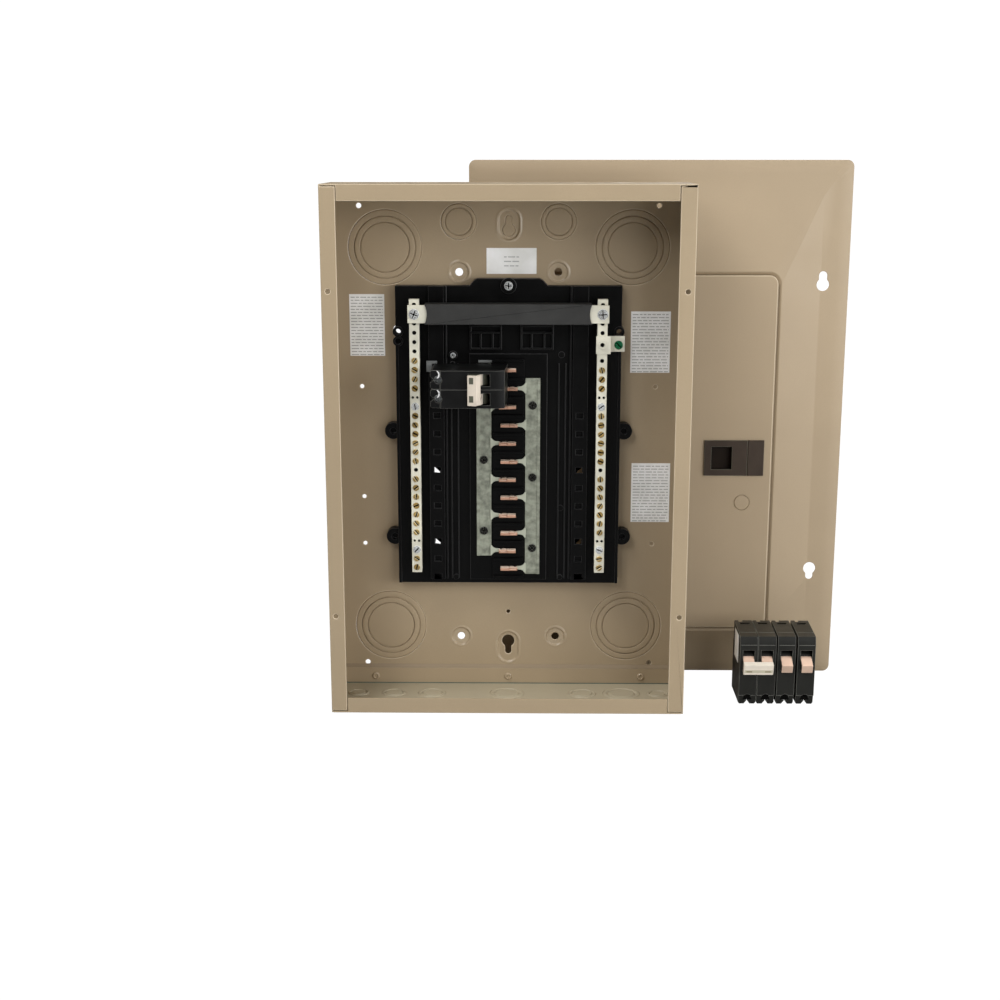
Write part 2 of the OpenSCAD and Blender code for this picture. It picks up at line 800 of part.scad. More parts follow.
module breaker_case(poles, solid_parts = false) {
  width = poles * pole_pitch;
  difference() {
    translate([0, width - case_gap, 0]) rotate([90, 0, 0]) linear_extrude(width - 2 * case_gap) {
      case_outline();
    }
    pole_places(poles) pole_hollows();
    if (poles > 1) for (i = [1:poles - 1]) translate([0, i * pole_pitch, 0]) {
      block([-1, case_l + 1], [-case_gap, case_gap], [case_h - 6, case_h + 1]);
      block([case_l - 4, case_l + 1], [-case_gap, case_gap], [1, case_h + 1]);
      block([-1, 4], [-case_gap, case_gap], [-1, case_h + 1]);
    }
  }
  if (solid_parts) pole_places(poles) {
    translate([arm_pivot_x, 0, arm_pivot_z]) rod_y(1.5, [-pole_pitch / 2 + 1, pole_pitch / 2 - 1]);
  }
}

// Drum and trunnions that the handle turns on, centred on its pivot
module handle_drum() {
  intersection() {
    rod_y(drum_r, [-lever_w / 2, lever_w / 2]);
    block([-drum_r, drum_r], [-lever_w, lever_w], [-6, drum_r]);
  }
  rod_y(trunnion_r, [-pole_pitch / 2 + wall_t - 0.8, pole_pitch / 2 - wall_t + 0.8]);
}

// Lever outline in X and Z, from the pivot out to length l
module lever_outline(l) {
  polygon([[-lever_root, 8], [lever_root, 8], [lever_tip, l], [-lever_tip, l]]);
}

module lever(y, l) {
  translate([0, y[1], 0]) rotate([90, 0, 0]) linear_extrude(y[1] - y[0]) lever_outline(l);
}

// Off: the lever leans towards the wire end
module turned_off() {
  translate([pivot_x, 0, pivot_z]) rotate([0, -half_turn, 0]) children();
}

module single_handle(l) {
  pole_places(1) turned_off() {
    handle_drum();
    lever([-lever_w / 2, lever_w / 2], l);
  }
}

module lugs(poles) {
  pole_places(poles) difference() {
    block(lug_x, [-6, 6], lug_z);
    translate([0, 0, 31]) rod_x(4, [lug_x[0] - 1, lug_x[1] + 1]);
    translate([screw_x, 0, 0]) rod_z(2.6, [33, lug_z[1] + 1]);
  }
}

module lug_screws(poles) {
  pole_places(poles) translate([screw_x, 0, 0]) difference() {
    union() {
      rod_z(2.6, [34.5, 42]);
      rod_z(3.9, [42, 46]);
    }
    block([-5, 5], [-0.6, 0.6], [44.4, 47]);
  }
}

// Spring jaws that grip a stab blade, which is off the middle of its pole
module jaws(poles) {
  pole_places(poles) {
    translate([0, jaw_off, 0]) {
      for (s = [-1, 1]) scale([1, s, 1]) {
        block(jaw_x, [jaw_gap / 2, jaw_gap / 2 + jaw_t], jaw_z);
      }
      block(jaw_x, [-jaw_gap / 2 - jaw_t, jaw_gap / 2 + jaw_t], [13.2, 14.4]);
    }
    block([62, jaw_x[0] + 1], [-2, 2], [13.2, 14.4]);
  }
}

// Main breaker ----------------------------------------------------------------------------------

// Puts a breaker on the left rail, its face to the front and its bus end to the middle
module on_left_rail() {
  placed() translate([main_x, rail_y, main_z]) rotate([90, 0, 0]) children();
}

module main_breaker_case() {
  color(black_plastic) on_left_rail() breaker_case(2, true);
}

module main_breaker_lugs() {
  color(tin) on_left_rail() lugs(2);
}

module main_lug_screws() {
  color("#d0d2d0") on_left_rail() lug_screws(2);
}

module main_breaker_jaws() {
  color("#c08a6a") on_left_rail() jaws(2);
}

module main_bimetals() {
  color("#b9a878") on_left_rail() pole_places(2) {
    block([17.4, 18.4], [-3, 3], [6, 34]);
    block([17.4, 24], [-3, 3], [6, 7]);
  }
}

module main_arc_plates() {
  color("#7d8084") on_left_rail() pole_places(2) for (i = [0:4]) {
    block([60.4, 64], [-6, 6], [22 + 3 * i, 22.8 + 3 * i]);
  }
}

module main_fixed_contacts() {
  color("#c08a6a") on_left_rail() pole_places(2) {
    block([52, 60], [-2, 2], [13.2, 14.4]);
    block([60, 62], [-2, 2], [13.2, 14.4]);
    block([53, 57.6], [-2, 2], [14.4, 18.6]);
  }
}

// Moving contact, drawn open
module main_contact_arms() {
  color("#c89a60") on_left_rail() pole_places(2) {
    translate([arm_pivot_x, 0, arm_pivot_z]) rotate([0, -arm_open, 0]) difference() {
      union() {
        rod_y(3.2, [-3, 3]);
        block([0, arm_l], [-2, 2], [-1.5, 1.2]);
        block([arm_l - 4.4, arm_l], [-2, 2], [-3, -1.5]);
      }
      rod_y(1.5 + pin_gap, [-4, 4]);
    }
  }
}

// One moulding: two drums and levers with a thick bar across them
module main_breaker_handle() {
  color("#ebe1cd") on_left_rail() {
    pole_places(2) turned_off() {
      handle_drum();
      lever([-lever_w / 2, lever_w / 2], lever_l);
    }
    turned_off() translate([0, 2 * pole_pitch - 4.6, 0]) rotate([90, 0, 0]) {
      linear_extrude(2 * pole_pitch - 9.2) {
        polygon([[-5.6, 17], [5.4, 17], [7.8, 18.2], [4.8, lever_l], [-4.8, lever_l]]);
      }
    }
  }
}

// Cover -----------------------------------------------------------------------------------------

// Thin rounded plate, inset from the cover's edges: [left, right, bottom, top]
module cover_layer(inset, y, r) {
  x = [cover_left + inset[0] + r, cover_left + cover_w - inset[1] - r];
  z = [inset[2] + r, cover_h - inset[3] - r];
  for (cx = x, cz = z) translate([cx, 0, cz]) rod_y(r, [y, y + 0.01], $fn = 32);
}

// Outside of the pressed cover, as a solid that runs on behind it
module cover_form() {
  hull() {
    cover_layer([0, 0, 0, 0], cover_y + cover_t, 7);
    cover_layer([0, 0, 0, 0], cover_y, 7);
    cover_layer([rim_w, rim_w, rim_w, rim_w], rim_y, 5);
  }
  hull() {
    cover_layer([flat_w, flat_w, flat_w, flat_w + 3], rim_y, 3);
    cover_layer([open_x[0] - 4.2 - cover_left, cover_left + cover_w - open_x[1] - 4.2,
      open_z[0] - 4.2, cover_h - open_z[1] - 4.2], plateau_y, 13);
  }
}

// Rounded rectangle in X and Z
module round_rect(x, z, r) {
  for (cx = [x[0] + r, x[1] - r], cz = [z[0] + r, z[1] - r]) translate([cx, cz]) circle(r = r);
  translate([x[0] + r, z[0]]) square([x[1] - x[0] - 2 * r, z[1] - z[0]]);
  translate([x[0], z[0] + r]) square([x[1] - x[0], z[1] - z[0] - 2 * r]);
}

// Outline of the door's opening, made larger all round by m
module opening(m) {
  round_rect(open_x + [-m, m], open_z + [-m, m], open_r + m);
}

// Funnel between two outlines: m[0] larger at y[0] and m[1] larger at y[1]
module funnel(m, y) {
  hull() for (i = [0, 1]) push_y([y[i], y[i] + 0.01]) opening(m[i]);
}

module cover_trim() {
  color(cover_paint) placed() difference() {
    union() {
      difference() {
        cover_form();
        translate([0, cover_t, 0]) cover_form();
      }
      push_y([plateau_y + 0.6, floor_y + cover_t]) opening(cover_t);
      funnel([lip_out + 1.2, cover_t], [plateau_y + 0.6, plateau_y + 4.6]);
    }
    push_y([plateau_y - 1, floor_y]) opening(0);
    funnel([lip_out, 0], [plateau_y - 0.02, plateau_y + lip_drop]);
    for (s = [-1, 1]) {
      x = cover_x + s * twist_x;
      block([x - twist_w / 2, x + twist_w / 2], [floor_y - 1, floor_y + 3], twist_z);
      cover_keyholes(cover_x + s * cover_key_x);
    }
    translate([hinge_x, hinge_y, 0]) rod_z(pin_r, [open_z[0] - 3, open_z[1] + 3]);
  }
}

twist_z = [rows_mid + 5.3 - rows * pole_pitch / 2, rows_mid + 5.3 + rows * pole_pitch / 2];

module cover_keyholes(x) {
  y = [rim_y - 3, rim_y + 4];
  translate([x, 0, cover_key_high]) push_y(y) keyhole(key_r, 4.3, 9.6);
  translate([x, 0, cover_key_low]) mirror([0, 0, 1]) push_y(y) keyhole(key_r, 3.9, 8.4);
}

// Break-out blanks over the breaker spaces
module twistout_plates() {
  color(cover_paint) placed() for (s = [-1, 1], i = [0:rows - 1]) {
    x = cover_x + s * twist_x;
    z = twist_z[0] + i * pole_pitch;
    block([x - twist_w / 2, x + twist_w / 2], [floor_y + 0.2, floor_y + cover_t + 0.2],
      [z + 0.2, z + pole_pitch - 0.2]);
  }
}

module door_hinge_pins() {
  color(tin) placed() translate([hinge_x, hinge_y, 0]) {
    rod_z(pin_r, [open_z[0] - cover_t, door_low + 10]);
    rod_z(pin_r, [door_high - 10, open_z[1] + cover_t]);
  }
}

module door_knuckle(z) {
  translate([hinge_x, hinge_y, 0]) rod_z(knuckle_r, z);
  block([hinge_x - 2.8, hinge_x + 2.8], [door_y + 0.4, hinge_y], z);
}

module door() {
  low_knuckle = [door_low + 2, door_low + 2 + knuckle_l];
  high_knuckle = [door_high - 2 - knuckle_l, door_high - 2];
  inner_x = [door_left + cover_t, door_right - cover_t];
  inner_z = [door_low + cover_t, door_high - cover_t];
  color(cover_paint) placed() difference() {
    union() {
      difference() {
        push_y([door_y, door_back]) round_rect([door_left, door_right], [door_low, door_high], 8.5);
        push_y([plateau_y, door_back + 1]) round_rect(inner_x, inner_z, 7.3);
      }
      door_knuckle(low_knuckle);
      door_knuckle(high_knuckle);
    }
    for (z = [low_knuckle, high_knuckle]) {
      translate([hinge_x, hinge_y, 0]) rod_z(pin_r + pin_gap, [z[0] - 3, z[1] + 3]);
    }
    block([cup_x[0] - latch_travel - 0.6, cup_x[1] + 0.6], [door_y - 1, plateau_y + 1],
      [cup_z[0] - 0.6, cup_z[1] + 0.6]);
    block([door_right - 2, door_right + 1], [bolt_y - 2.2, bolt_y + 2.2], [latch_z - 5.2,
      latch_z + 5.2]);
    latch_peg_places() rod_y(1.5, [door_y - 1, plateau_y + 1]);
    translate([lock_x, 0, lock_z]) rod_y(lock_r, [door_y - 1, plateau_y + 1]);
  }
}

module lock_knockout() {
  color(cover_paint) placed() translate([lock_x, 0, lock_z]) {
    rod_y(lock_r, [door_y + 0.4, plateau_y + 0.4]);
  }
}

module latch_peg_places() {
  for (z = [latch_z - 13, latch_z + 13]) translate([265.5, 0, z]) children();
}

// Cap in front of the door, and the guides for the bolt behind it, joined by two pegs
module latch_housing() {
  z = [latch_z - latch_h / 2, latch_z + latch_h / 2];
  color("#50483e") placed() difference() {
    union() {
      block(cap_x, [door_y - 2, door_y], z);
      latch_peg_places() rod_y(1.5, [door_y - 0.5, plateau_y + 0.5]);
      block([244.6, 275], [plateau_y, plateau_y + 0.8], [latch_z - 16, latch_z + 16]);
      block([245, 248], [plateau_y, bolt_y + 4.4], [latch_z - 7, latch_z + 7]);
      block([269, 272], [plateau_y, bolt_y + 4.4], [latch_z - 7, latch_z + 7]);
    }
    translate([0, bolt_y, latch_z]) rod_x(1.7, [243, 249]);
    block([268, 276], [bolt_y - 1.8, bolt_y + 1.8], [latch_z - 4.8, latch_z + 4.8]);
    block([249, 268], [plateau_y - 0.1, plateau_y + 1], [latch_z - 3.2, latch_z + 3.2]);
  }
}

// Thumb plate with a finger cup
module latch_slide() {
  z = [latch_z - latch_h / 2, latch_z + latch_h / 2];
  wall = 1.8;
  color("#50483e") placed() difference() {
    union() {
      block(latch_x, [door_y - 2, door_y - 0.3], z);
      block(cup_x, [door_y - 1, door_back], cup_z);
    }
    translate([0, 0, cup_z[0] + wall]) linear_extrude(cup_z[1] - cup_z[0] - 2 * wall) polygon([
      [cup_x[0] + wall, door_y - 3], [cup_x[0] + wall, door_y + 1.6],
      [cup_x[1] - wall, door_back - wall], [cup_x[1] - wall, door_y - 3]
    ]);
  }
}

// Rod from the cup through the spring, with a collar, and the bolt that runs to the door's edge
module latch_bolt() {
  color("#50483e") placed() translate([0, bolt_y, latch_z]) {
    rod_x(1.6, [cup_x[1], 266]);
    rod_x(2.5, [262.4, 264]);
    block([264, bolt_end], [-1.5, 1.5], [-4.5, 4.5]);
  }
}

// Helical spring along X
spring_turns = 7;
spring_steps = 14;
spring_sides = 6;
spring_r = 2.2;
spring_wire = 0.28;
spring_x = [248.1, 262.3];

function spring_point(i, s) =
  let (turn = 360 * i / spring_steps, around = 360 * s / spring_sides)
  let (r = spring_r + spring_wire * cos(around))
  let (run = (spring_x[1] - spring_x[0] - 2 * spring_wire) / (spring_turns * spring_steps))
  [spring_x[0] + spring_wire + run * i + spring_wire * sin(around), r * cos(turn), r * sin(turn)];

module latch_spring() {
  n = spring_turns * spring_steps;
  m = spring_sides;
  points = [for (i = [0:n], s = [0:m - 1]) spring_point(i, s)];
  walls = [for (i = [0:n - 1], s = [0:m - 1])
    [i * m + s, i * m + (s + 1) % m, (i + 1) * m + (s + 1) % m, (i + 1) * m + s]];
  ends = [[for (s = [m - 1:-1:0]) s], [for (s = [0:m - 1]) n * m + s]];
  color(tin) placed() translate([0, bolt_y, latch_z]) {
    polyhedron(points = points, faces = concat(walls, ends), convexity = 8);
  }
}

// Loose breakers --------------------------------------------------------------------------------

// Stands a breaker on its wire end with its face to the front
module stood_at(x, poles) {
  placed() translate([x + poles * pole_pitch, loose_y, 0]) rotate([0, -90, 90]) children();
}

module pair_breaker_case() {
  color(black_plastic) stood_at(pair_x, 2) breaker_case(2);
}

module pair_breaker_lugs() {
  color(tin) stood_at(pair_x, 2) lugs(2);
}

module pair_lug_screws() {
  color("#d0d2d0") stood_at(pair_x, 2) lug_screws(2);
}

module pair_breaker_jaws() {
  color("#c08a6a") stood_at(pair_x, 2) jaws(2);
}

module pair_side_label() {
  edge = 2 * pole_pitch - case_gap;
  color("#e1e1d7") stood_at(pair_x, 2) block([42, 72], [edge, edge + 0.15], [14, 44]);
}

tie_z = 17.6;

module pair_handles() {
  color("#d7b49b") stood_at(pair_x, 2) pole_places(2) turned_off() {
    handle_drum();
    lever([-lever_w / 2, lever_w / 2], tie_z);
  }
}

// Cap over both levers' tips
module pair_handle_tie() {
  color("#e1dcc3") stood_at(pair_x, 2) turned_off() {
    block([-6.6, 5.6], [3.6, 2 * pole_pitch - 3.6], [tie_z, lever_l + 1]);
    block([-7.6, -6.6], [3.6, 2 * pole_pitch - 3.6], [tie_z, lever_l]);
  }
}

module single_1_case() {
  color(black_plastic) stood_at(single_1_x, 1) breaker_case(1);
}

module single_1_lug() {
  color(tin) stood_at(single_1_x, 1) lugs(1);
}

module single_1_screw() {
  color("#d0d2d0") stood_at(single_1_x, 1) lug_screws(1);
}

module single_1_jaw() {
  color("#c08a6a") stood_at(single_1_x, 1) jaws(1);
}

module single_1_handle() {
  color("#d7b49b") stood_at(single_1_x, 1) single_handle(lever_l);
}

module single_2_case() {
  color(black_plastic) stood_at(single_2_x, 1) breaker_case(1);
}

module single_2_lug() {
  color(tin) stood_at(single_2_x, 1) lugs(1);
}

module single_2_screw() {
  color("#d0d2d0") stood_at(single_2_x, 1) lug_screws(1);
}

module single_2_jaw() {
  color("#c08a6a") stood_at(single_2_x, 1) jaws(1);
}

module single_2_handle() {
  color("#d7b49b") stood_at(single_2_x, 1) single_handle(lever_l);
}

enclosure_wrapper();
top_end_wall();
bottom_end_wall();
clinch_rivets();
back_knockouts();
end_knockouts();
backpan();
backpan_screws();
neutral_bar_left();
neutral_bar_right();
set_screws();
bar_mount_screws();
neutral_strap();
strap_insulator();
strap_screws();
bonding_strap();
bonding_screw();
bus_bar_left();
bus_bar_right();
bus_screws();
stab_blades();
stab_barrier();
hold_down_pad();
blank_labels();
main_breaker_case();
main_breaker_lugs();
main_lug_screws();
main_breaker_jaws();
main_bimetals();
main_arc_plates();
main_fixed_contacts();
main_contact_arms();
main_breaker_handle();
cover_trim();
twistout_plates();
door_hinge_pins();
door();
lock_knockout();
latch_housing();
latch_slide();
latch_bolt();
latch_spring();
pair_breaker_case();
pair_breaker_lugs();
pair_lug_screws();
pair_breaker_jaws();
pair_side_label();
pair_handles();
pair_handle_tie();
single_1_case();
single_1_lug();
single_1_screw();
single_1_jaw();
single_1_handle();
single_2_case();
single_2_lug();
single_2_screw();
single_2_jaw();
single_2_handle();
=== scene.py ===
import json
import math
import random
import bmesh
import bpy
from mathutils.bvhtree import BVHTree
from mathutils import Matrix, Vector


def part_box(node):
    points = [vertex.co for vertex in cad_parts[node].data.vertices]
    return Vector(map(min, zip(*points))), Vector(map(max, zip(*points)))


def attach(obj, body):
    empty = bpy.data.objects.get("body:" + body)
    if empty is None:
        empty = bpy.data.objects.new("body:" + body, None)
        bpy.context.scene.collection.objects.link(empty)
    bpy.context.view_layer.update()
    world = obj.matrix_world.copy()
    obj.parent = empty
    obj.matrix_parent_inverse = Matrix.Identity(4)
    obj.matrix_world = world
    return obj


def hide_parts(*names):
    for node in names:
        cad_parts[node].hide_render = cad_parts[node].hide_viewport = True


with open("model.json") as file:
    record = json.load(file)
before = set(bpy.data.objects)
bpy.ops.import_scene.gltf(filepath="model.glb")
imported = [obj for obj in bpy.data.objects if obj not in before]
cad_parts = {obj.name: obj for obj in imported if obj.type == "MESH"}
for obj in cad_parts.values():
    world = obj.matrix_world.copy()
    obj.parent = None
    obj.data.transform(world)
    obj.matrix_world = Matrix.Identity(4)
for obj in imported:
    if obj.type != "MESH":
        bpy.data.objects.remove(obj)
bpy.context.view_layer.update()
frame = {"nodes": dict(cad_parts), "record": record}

MM = 0.001
NODES = frame["nodes"]
RECORD = frame["record"]
BODY_OF = {n: b for b, ns in RECORD["behaviour"]["bodies"].items() for n in ns}
SLOT_OF = {s["node"]: s["material_slot"] for s in RECORD["subparts"]}
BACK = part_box("enclosure_wrapper")[1].y
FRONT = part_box("enclosure_wrapper")[0].y
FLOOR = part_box("bottom_end_wall")[0].z
scene = bpy.context.scene
scene.view_settings.view_transform = "Standard"


# Materials ---------------------------------------------------------------------------------------

def linear(rgb):
    """8-bit sRGB to linear RGBA."""
    out = []
    for c in rgb:
        c = c / 255
        out.append(c / 12.92 if c <= 0.04045 else ((c + 0.055) / 1.055) ** 2.4)
    return (*out, 1)


class Look:
    """A node-built material: base colour with mottling, grain, roughness variation and bump."""

    def __init__(self, name):
        self.mat = bpy.data.materials.new(name)
        self.mat.use_nodes = True
        self.tree = self.mat.node_tree
        self.shader = self.tree.nodes["Principled BSDF"]
        self.coord = self.node("ShaderNodeTexCoord").outputs["Object"]

    def node(self, kind, **props):
        n = self.tree.nodes.new(kind)
        for k, v in props.items():
            setattr(n, k, v)
        return n

    def join(self, a, b):
        self.tree.links.new(a, b)

    def noise(self, scale, detail=3, stretch=None):
        n = self.node("ShaderNodeTexNoise")
        n.inputs["Scale"].default_value = scale
        n.inputs["Detail"].default_value = detail
        vector = self.coord
        if stretch:
            m = self.node("ShaderNodeMapping")
            m.inputs["Scale"].default_value = stretch
            self.join(self.coord, m.inputs["Vector"])
            vector = m.outputs["Vector"]
        self.join(vector, n.inputs["Vector"])
        return n.outputs["Fac"]

    def remap(self, value, low, high, start=0.3, end=0.7):
        n = self.node("ShaderNodeMapRange")
        n.inputs["From Min"].default_value = start
        n.inputs["From Max"].default_value = end
        n.inputs["To Min"].default_value = low
        n.inputs["To Max"].default_value = high
        self.join(value, n.inputs["Value"])
        return n.outputs["Result"]

    def mix(self, factor, a, b):
        n = self.node("ShaderNodeMix", data_type="RGBA")
        if isinstance(factor, float):
            n.inputs[0].default_value = factor
        else:
            self.join(factor, n.inputs[0])
        for socket, value in ((n.inputs[6], a), (n.inputs[7], b)):
            if isinstance(value, tuple):
                socket.default_value = value
            else:
                self.join(value, socket)
        return n.outputs[2]

    def colour(self, output):
        if isinstance(output, tuple):
            self.shader.inputs["Base Color"].default_value = output
        else:
            self.join(output, self.shader.inputs["Base Color"])
        return self

    def rough(self, value, spread=0.0, scale=60.0, stretch=None):
        if spread:
            grain = self.noise(scale, 4, stretch)
            self.join(self.remap(grain, value - spread, value + spread), self.shader.inputs["Roughness"])
        else:
            self.shader.inputs["Roughness"].default_value = value
        return self

    def bump(self, height, strength, distance):
        b = self.node("ShaderNodeBump")
        b.inputs["Strength"].default_value = strength
        b.inputs["Distance"].default_value = distance
        self.join(height, b.inputs["Height"])
        self.join(b.outputs["Normal"], self.shader.inputs["Normal"])
        return self

    def put(self, **values):
        for k, v in values.items():
            self.shader.inputs[k.replace("_", " ")].default_value = v
        return self


def shade(rgb, k):
    """The colour made lighter or darker, in linear light."""
    c = linear(rgb)
    return (min(c[0] * k, 1), min(c[1] * k, 1), min(c[2] * k, 1), 1)


def painted(name, rgb, rough=0.42, shine=0.35):
    """Satin enamel on sheet steel: slight mottling and orange peel."""
    m = Look(name)
    mottle = m.remap(m.noise(9, 3), 0, 1, 0.35, 0.65)
    speck = m.remap(m.noise(900, 2), 0, 0.5, 0.4, 0.8)
    base = m.mix(mottle, shade(rgb, 0.97), shade(rgb, 1.03))
    m.colour(m.mix(speck, base, shade(rgb, 0.93)))
    m.rough(rough, 0.05, 40)
    m.bump(m.noise(700, 2), 0.05, 0.0002)
    return m.put(Specular_IOR_Level=shine).mat


def moulded(name, rgb, rough=0.4, grain=1400, strength=0.12, spread=0.06, shine=0.5):
    """Injection-moulded plastic: fine spark texture, faint flow variation."""
    m = Look(name)
    mottle = m.remap(m.noise(35, 3), 0, 1, 0.35, 0.65)
    m.colour(m.mix(mottle, shade(rgb, 0.9), shade(rgb, 1.12)))
    m.rough(rough, spread, 70)
    m.bump(m.noise(grain, 3), strength, 0.0001)
    return m.put(Specular_IOR_Level=shine).mat


def metal(name, rgb, rough=0.3, stretch=(1, 1, 12), strength=0.1, dull=0.82, scale=500, metallic=1.0, blotch=45):
    """Bare or plated metal: rolling marks along one direction and dull stains."""
    m = Look(name)
    brushed = m.noise(scale, 5, stretch)
    stain = m.remap(m.noise(blotch, 4), 0, 1, 0.35, 0.7)
    m.colour(m.mix(stain, shade(rgb, 1.0), shade(rgb, dull)))
    m.rough(rough, 0.09, scale, stretch)
    m.bump(brushed, strength, 0.00008)
    return m.put(Metallic=metallic).mat


def printed_sheet(name, rgb, ink=0.45, pitch=520, across=(0, 0, 1)):
    """Paper label: rows of grey strokes with ragged ends, no lettering."""
    m = Look(name)
    paper = m.mix(m.remap(m.noise(60, 3), 0, 1), shade(rgb, 0.96), shade(rgb, 1.0))
    wave = m.node("ShaderNodeTexWave", wave_type="BANDS", bands_direction="Z" if across[2] else "X")
    wave.inputs["Scale"].default_value = pitch / 6.2832
    wave.inputs["Distortion"].default_value = 0
    m.join(m.coord, wave.inputs["Vector"])
    rows = m.remap(wave.outputs["Fac"], 0, 1, 0.45, 0.7)
    words = m.remap(m.noise(170, 2, (1, 1, 0.15) if across[2] else (0.15, 1, 1)), 0, 1, 0.44, 0.5)
    both = m.node("ShaderNodeMath", operation="MULTIPLY")
    m.join(rows, both.inputs[0])
    m.join(words, both.inputs[1])
    m.colour(m.mix(both.outputs[0], paper, shade(rgb, ink)))
    m.rough(0.4, 0.05, 50)
    m.bump(m.noise(260, 2), 0.05, 0.0001)
    return m.put(Specular_IOR_Level=0.3).mat


LOOKS = {
    "box_paint": painted("box_enamel", (166, 148, 121)),
    "cover_paint": painted("cover_enamel", (166, 148, 122)),
    "latch_plastic": moulded("latch_moulding", (60, 50, 42), 0.42, shine=0.18),
    "latch_cup": moulded("latch_cup_painted_shade", (26, 19, 13), 0.5, shine=0.06),
    "black_plastic": moulded("black_moulding", (7, 7, 7), 0.36, shine=0.1),
    # black_edge, case_edge and loose_edge are lighter greys painted on rounded edges: painted highlights
    "black_edge": moulded("black_edge_painted_highlight", (40, 40, 40), 0.35, shine=0.3),
    "case_black": moulded("breaker_moulding", (14, 14, 14), 0.38, shine=0.18),
    "case_edge": moulded("breaker_edge_painted_highlight", (84, 84, 80), 0.35, shine=0.4),
    "loose_black": moulded("loose_breaker_moulding", (30, 30, 27), 0.42, shine=0.2),
    "dark_hole": moulded("hole_painted_shade", (6, 6, 5), 0.7, shine=0.05),
    "bus_lip": metal("bus_lip", (190, 194, 176), 0.45, (1, 1, 6), 0.2, 0.8, metallic=0.2),
    "stab_root": metal("root_painted_highlight", (255, 246, 226), 0.4, (1, 1, 1), 0.2, 0.9, metallic=0.1),
    "bright_edge": metal("screw_edge_painted_highlight", (250, 250, 248), 0.3, (1, 1, 1), 0.05, 0.95, metallic=0.1),
    "brass_edge": metal("brass_edge_painted_highlight", (236, 220, 176), 0.3, (1, 1, 1), 0.05, 0.9, metallic=0.2),
    "dimple_paint": painted("dimple_enamel", (172, 154, 127), 0.25, 0.8),
    "loose_top": moulded("loose_breaker_top_painted_light", (50, 48, 42), 0.42, shine=0.25),
    "loose_edge": moulded("loose_edge_painted_highlight", (104, 104, 98), 0.35, shine=0.4),
    "olive_window": moulded("olive_window", (84, 84, 72), 0.4, shine=0.3),
    # blend_paint is a darker enamel: painted shade
    "blend_paint": painted("painted_shade_enamel", (148, 131, 107)),
    "joint_shade": moulded("joint_shadow", (92, 104, 94), 0.6, shine=0.1),
    # floor_paint: a greener, lighter enamel; its extra lightness is painted light
    "floor_paint": painted("floor_enamel_painted_light", (176, 166, 142)),
    # bend_paint is a lighter enamel for rounded bends: a painted highlight
    "bend_paint": painted("bend_painted_highlight_enamel", (196, 180, 154)),
    "dark_grey_plastic": moulded("grey_channel", (54, 54, 53), 0.5, shine=0.2),
    "pad_plastic": moulded("grey_pad", (104, 106, 105), 0.5, shine=0.3),
    "cream_plastic": moulded("cream_moulding", (236, 226, 210), 0.35, strength=0.05),
    "main_cream": moulded("main_lever_moulding", (208, 197, 182), 0.4, strength=0.05, shine=0.3),
    "sand_under": moulded("sand_underside_painted_shade", (196, 168, 148), 0.4, strength=0.05, shine=0.3),
    "tie_under": moulded("tie_underside", (200, 193, 170), 0.4, strength=0.05, shine=0.3),
    "tie_mark": moulded("tie_mark", (150, 142, 116), 0.5, strength=0.05, shine=0.2),
    "terminal_dark": metal("terminal_painted_shade", (66, 62, 54), 0.45, (1, 1, 1), 0.2, 0.6, metallic=0.3),
    "sand_tip": moulded("stab_top_painted_highlight", (236, 212, 192), 0.35, strength=0.05),
    "sand_plastic": moulded("sand_moulding", (222, 190, 168), 0.35, strength=0.05),
    "bus_aluminium": metal("tinned_bus", (158, 162, 146), 0.5, (2, 1, 0.7), 0.35, 0.5, 160, 0.3, 190),
    "bar_aluminium": metal("drilled_bar", (234, 231, 213), 0.45, (6, 1, 1), 0.15, 0.74, metallic=0.15),
    "plated_steel": metal("zinc_steel", (208, 212, 212), 0.28, (1, 1, 1), 0.08, metallic=0.45),
    "spring_steel": metal("spring_wire", (180, 180, 180), 0.3, (1, 1, 1), 0.05),
    "brass": metal("set_screw_brass", (190, 160, 96), 0.3, (1, 1, 1), 0.2, 0.5, metallic=0.8),
    "green_screw": metal("green_screw_head", (18, 120, 76), 0.25, (1, 1, 1), 0.05, 0.8, 500, 0.3),
    "black_steel": metal("black_oxide", (24, 25, 20), 0.35, (1, 1, 1), 0.1, 0.6, 500, 0.6),
    "copper": metal("copper_strip", (214, 166, 140), 0.38, (1, 1, 4), 0.2, 0.75, metallic=0.5),
    "label_paper": moulded("label_sheet", (246, 246, 242), 0.45, strength=0.03, shine=0.3),
    "label_ink": moulded("label_ink", (172, 172, 170), 0.5, strength=0.02, shine=0.2),
}


def set_material(obj, material):
    obj.data.materials.clear()
    obj.data.materials.append(material)
    for poly in obj.data.polygons:
        poly.material_index = 0


for node_name, node_obj in NODES.items():
    set_material(node_obj, LOOKS[SLOT_OF[node_name]])


# Building helpers ----------------------------------------------------------------------------------

def islands(node):
    """The separate solids of a CAD node, each as its low and high corner, in a fixed order."""
    bm = bmesh.new()
    bm.from_mesh(NODES[node].data)
    bmesh.ops.remove_doubles(bm, verts=bm.verts, dist=1e-6)
    todo = set(bm.verts)
    boxes = []
    while todo:
        stack = [todo.pop()]
        part = []
        while stack:
            v = stack.pop()
            part.append(v.co.copy())
            for e in v.link_edges:
                other = e.other_vert(v)
                if other in todo:
                    todo.remove(other)
                    stack.append(other)
        boxes.append((Vector([min(p[i] for p in part) for i in range(3)]),
                      Vector([max(p[i] for p in part) for i in range(3)])))
    bm.free()
    return sorted(boxes, key=lambda b: (round(b[0].x, 5), round(b[0].z, 5), round(b[0].y, 5)))


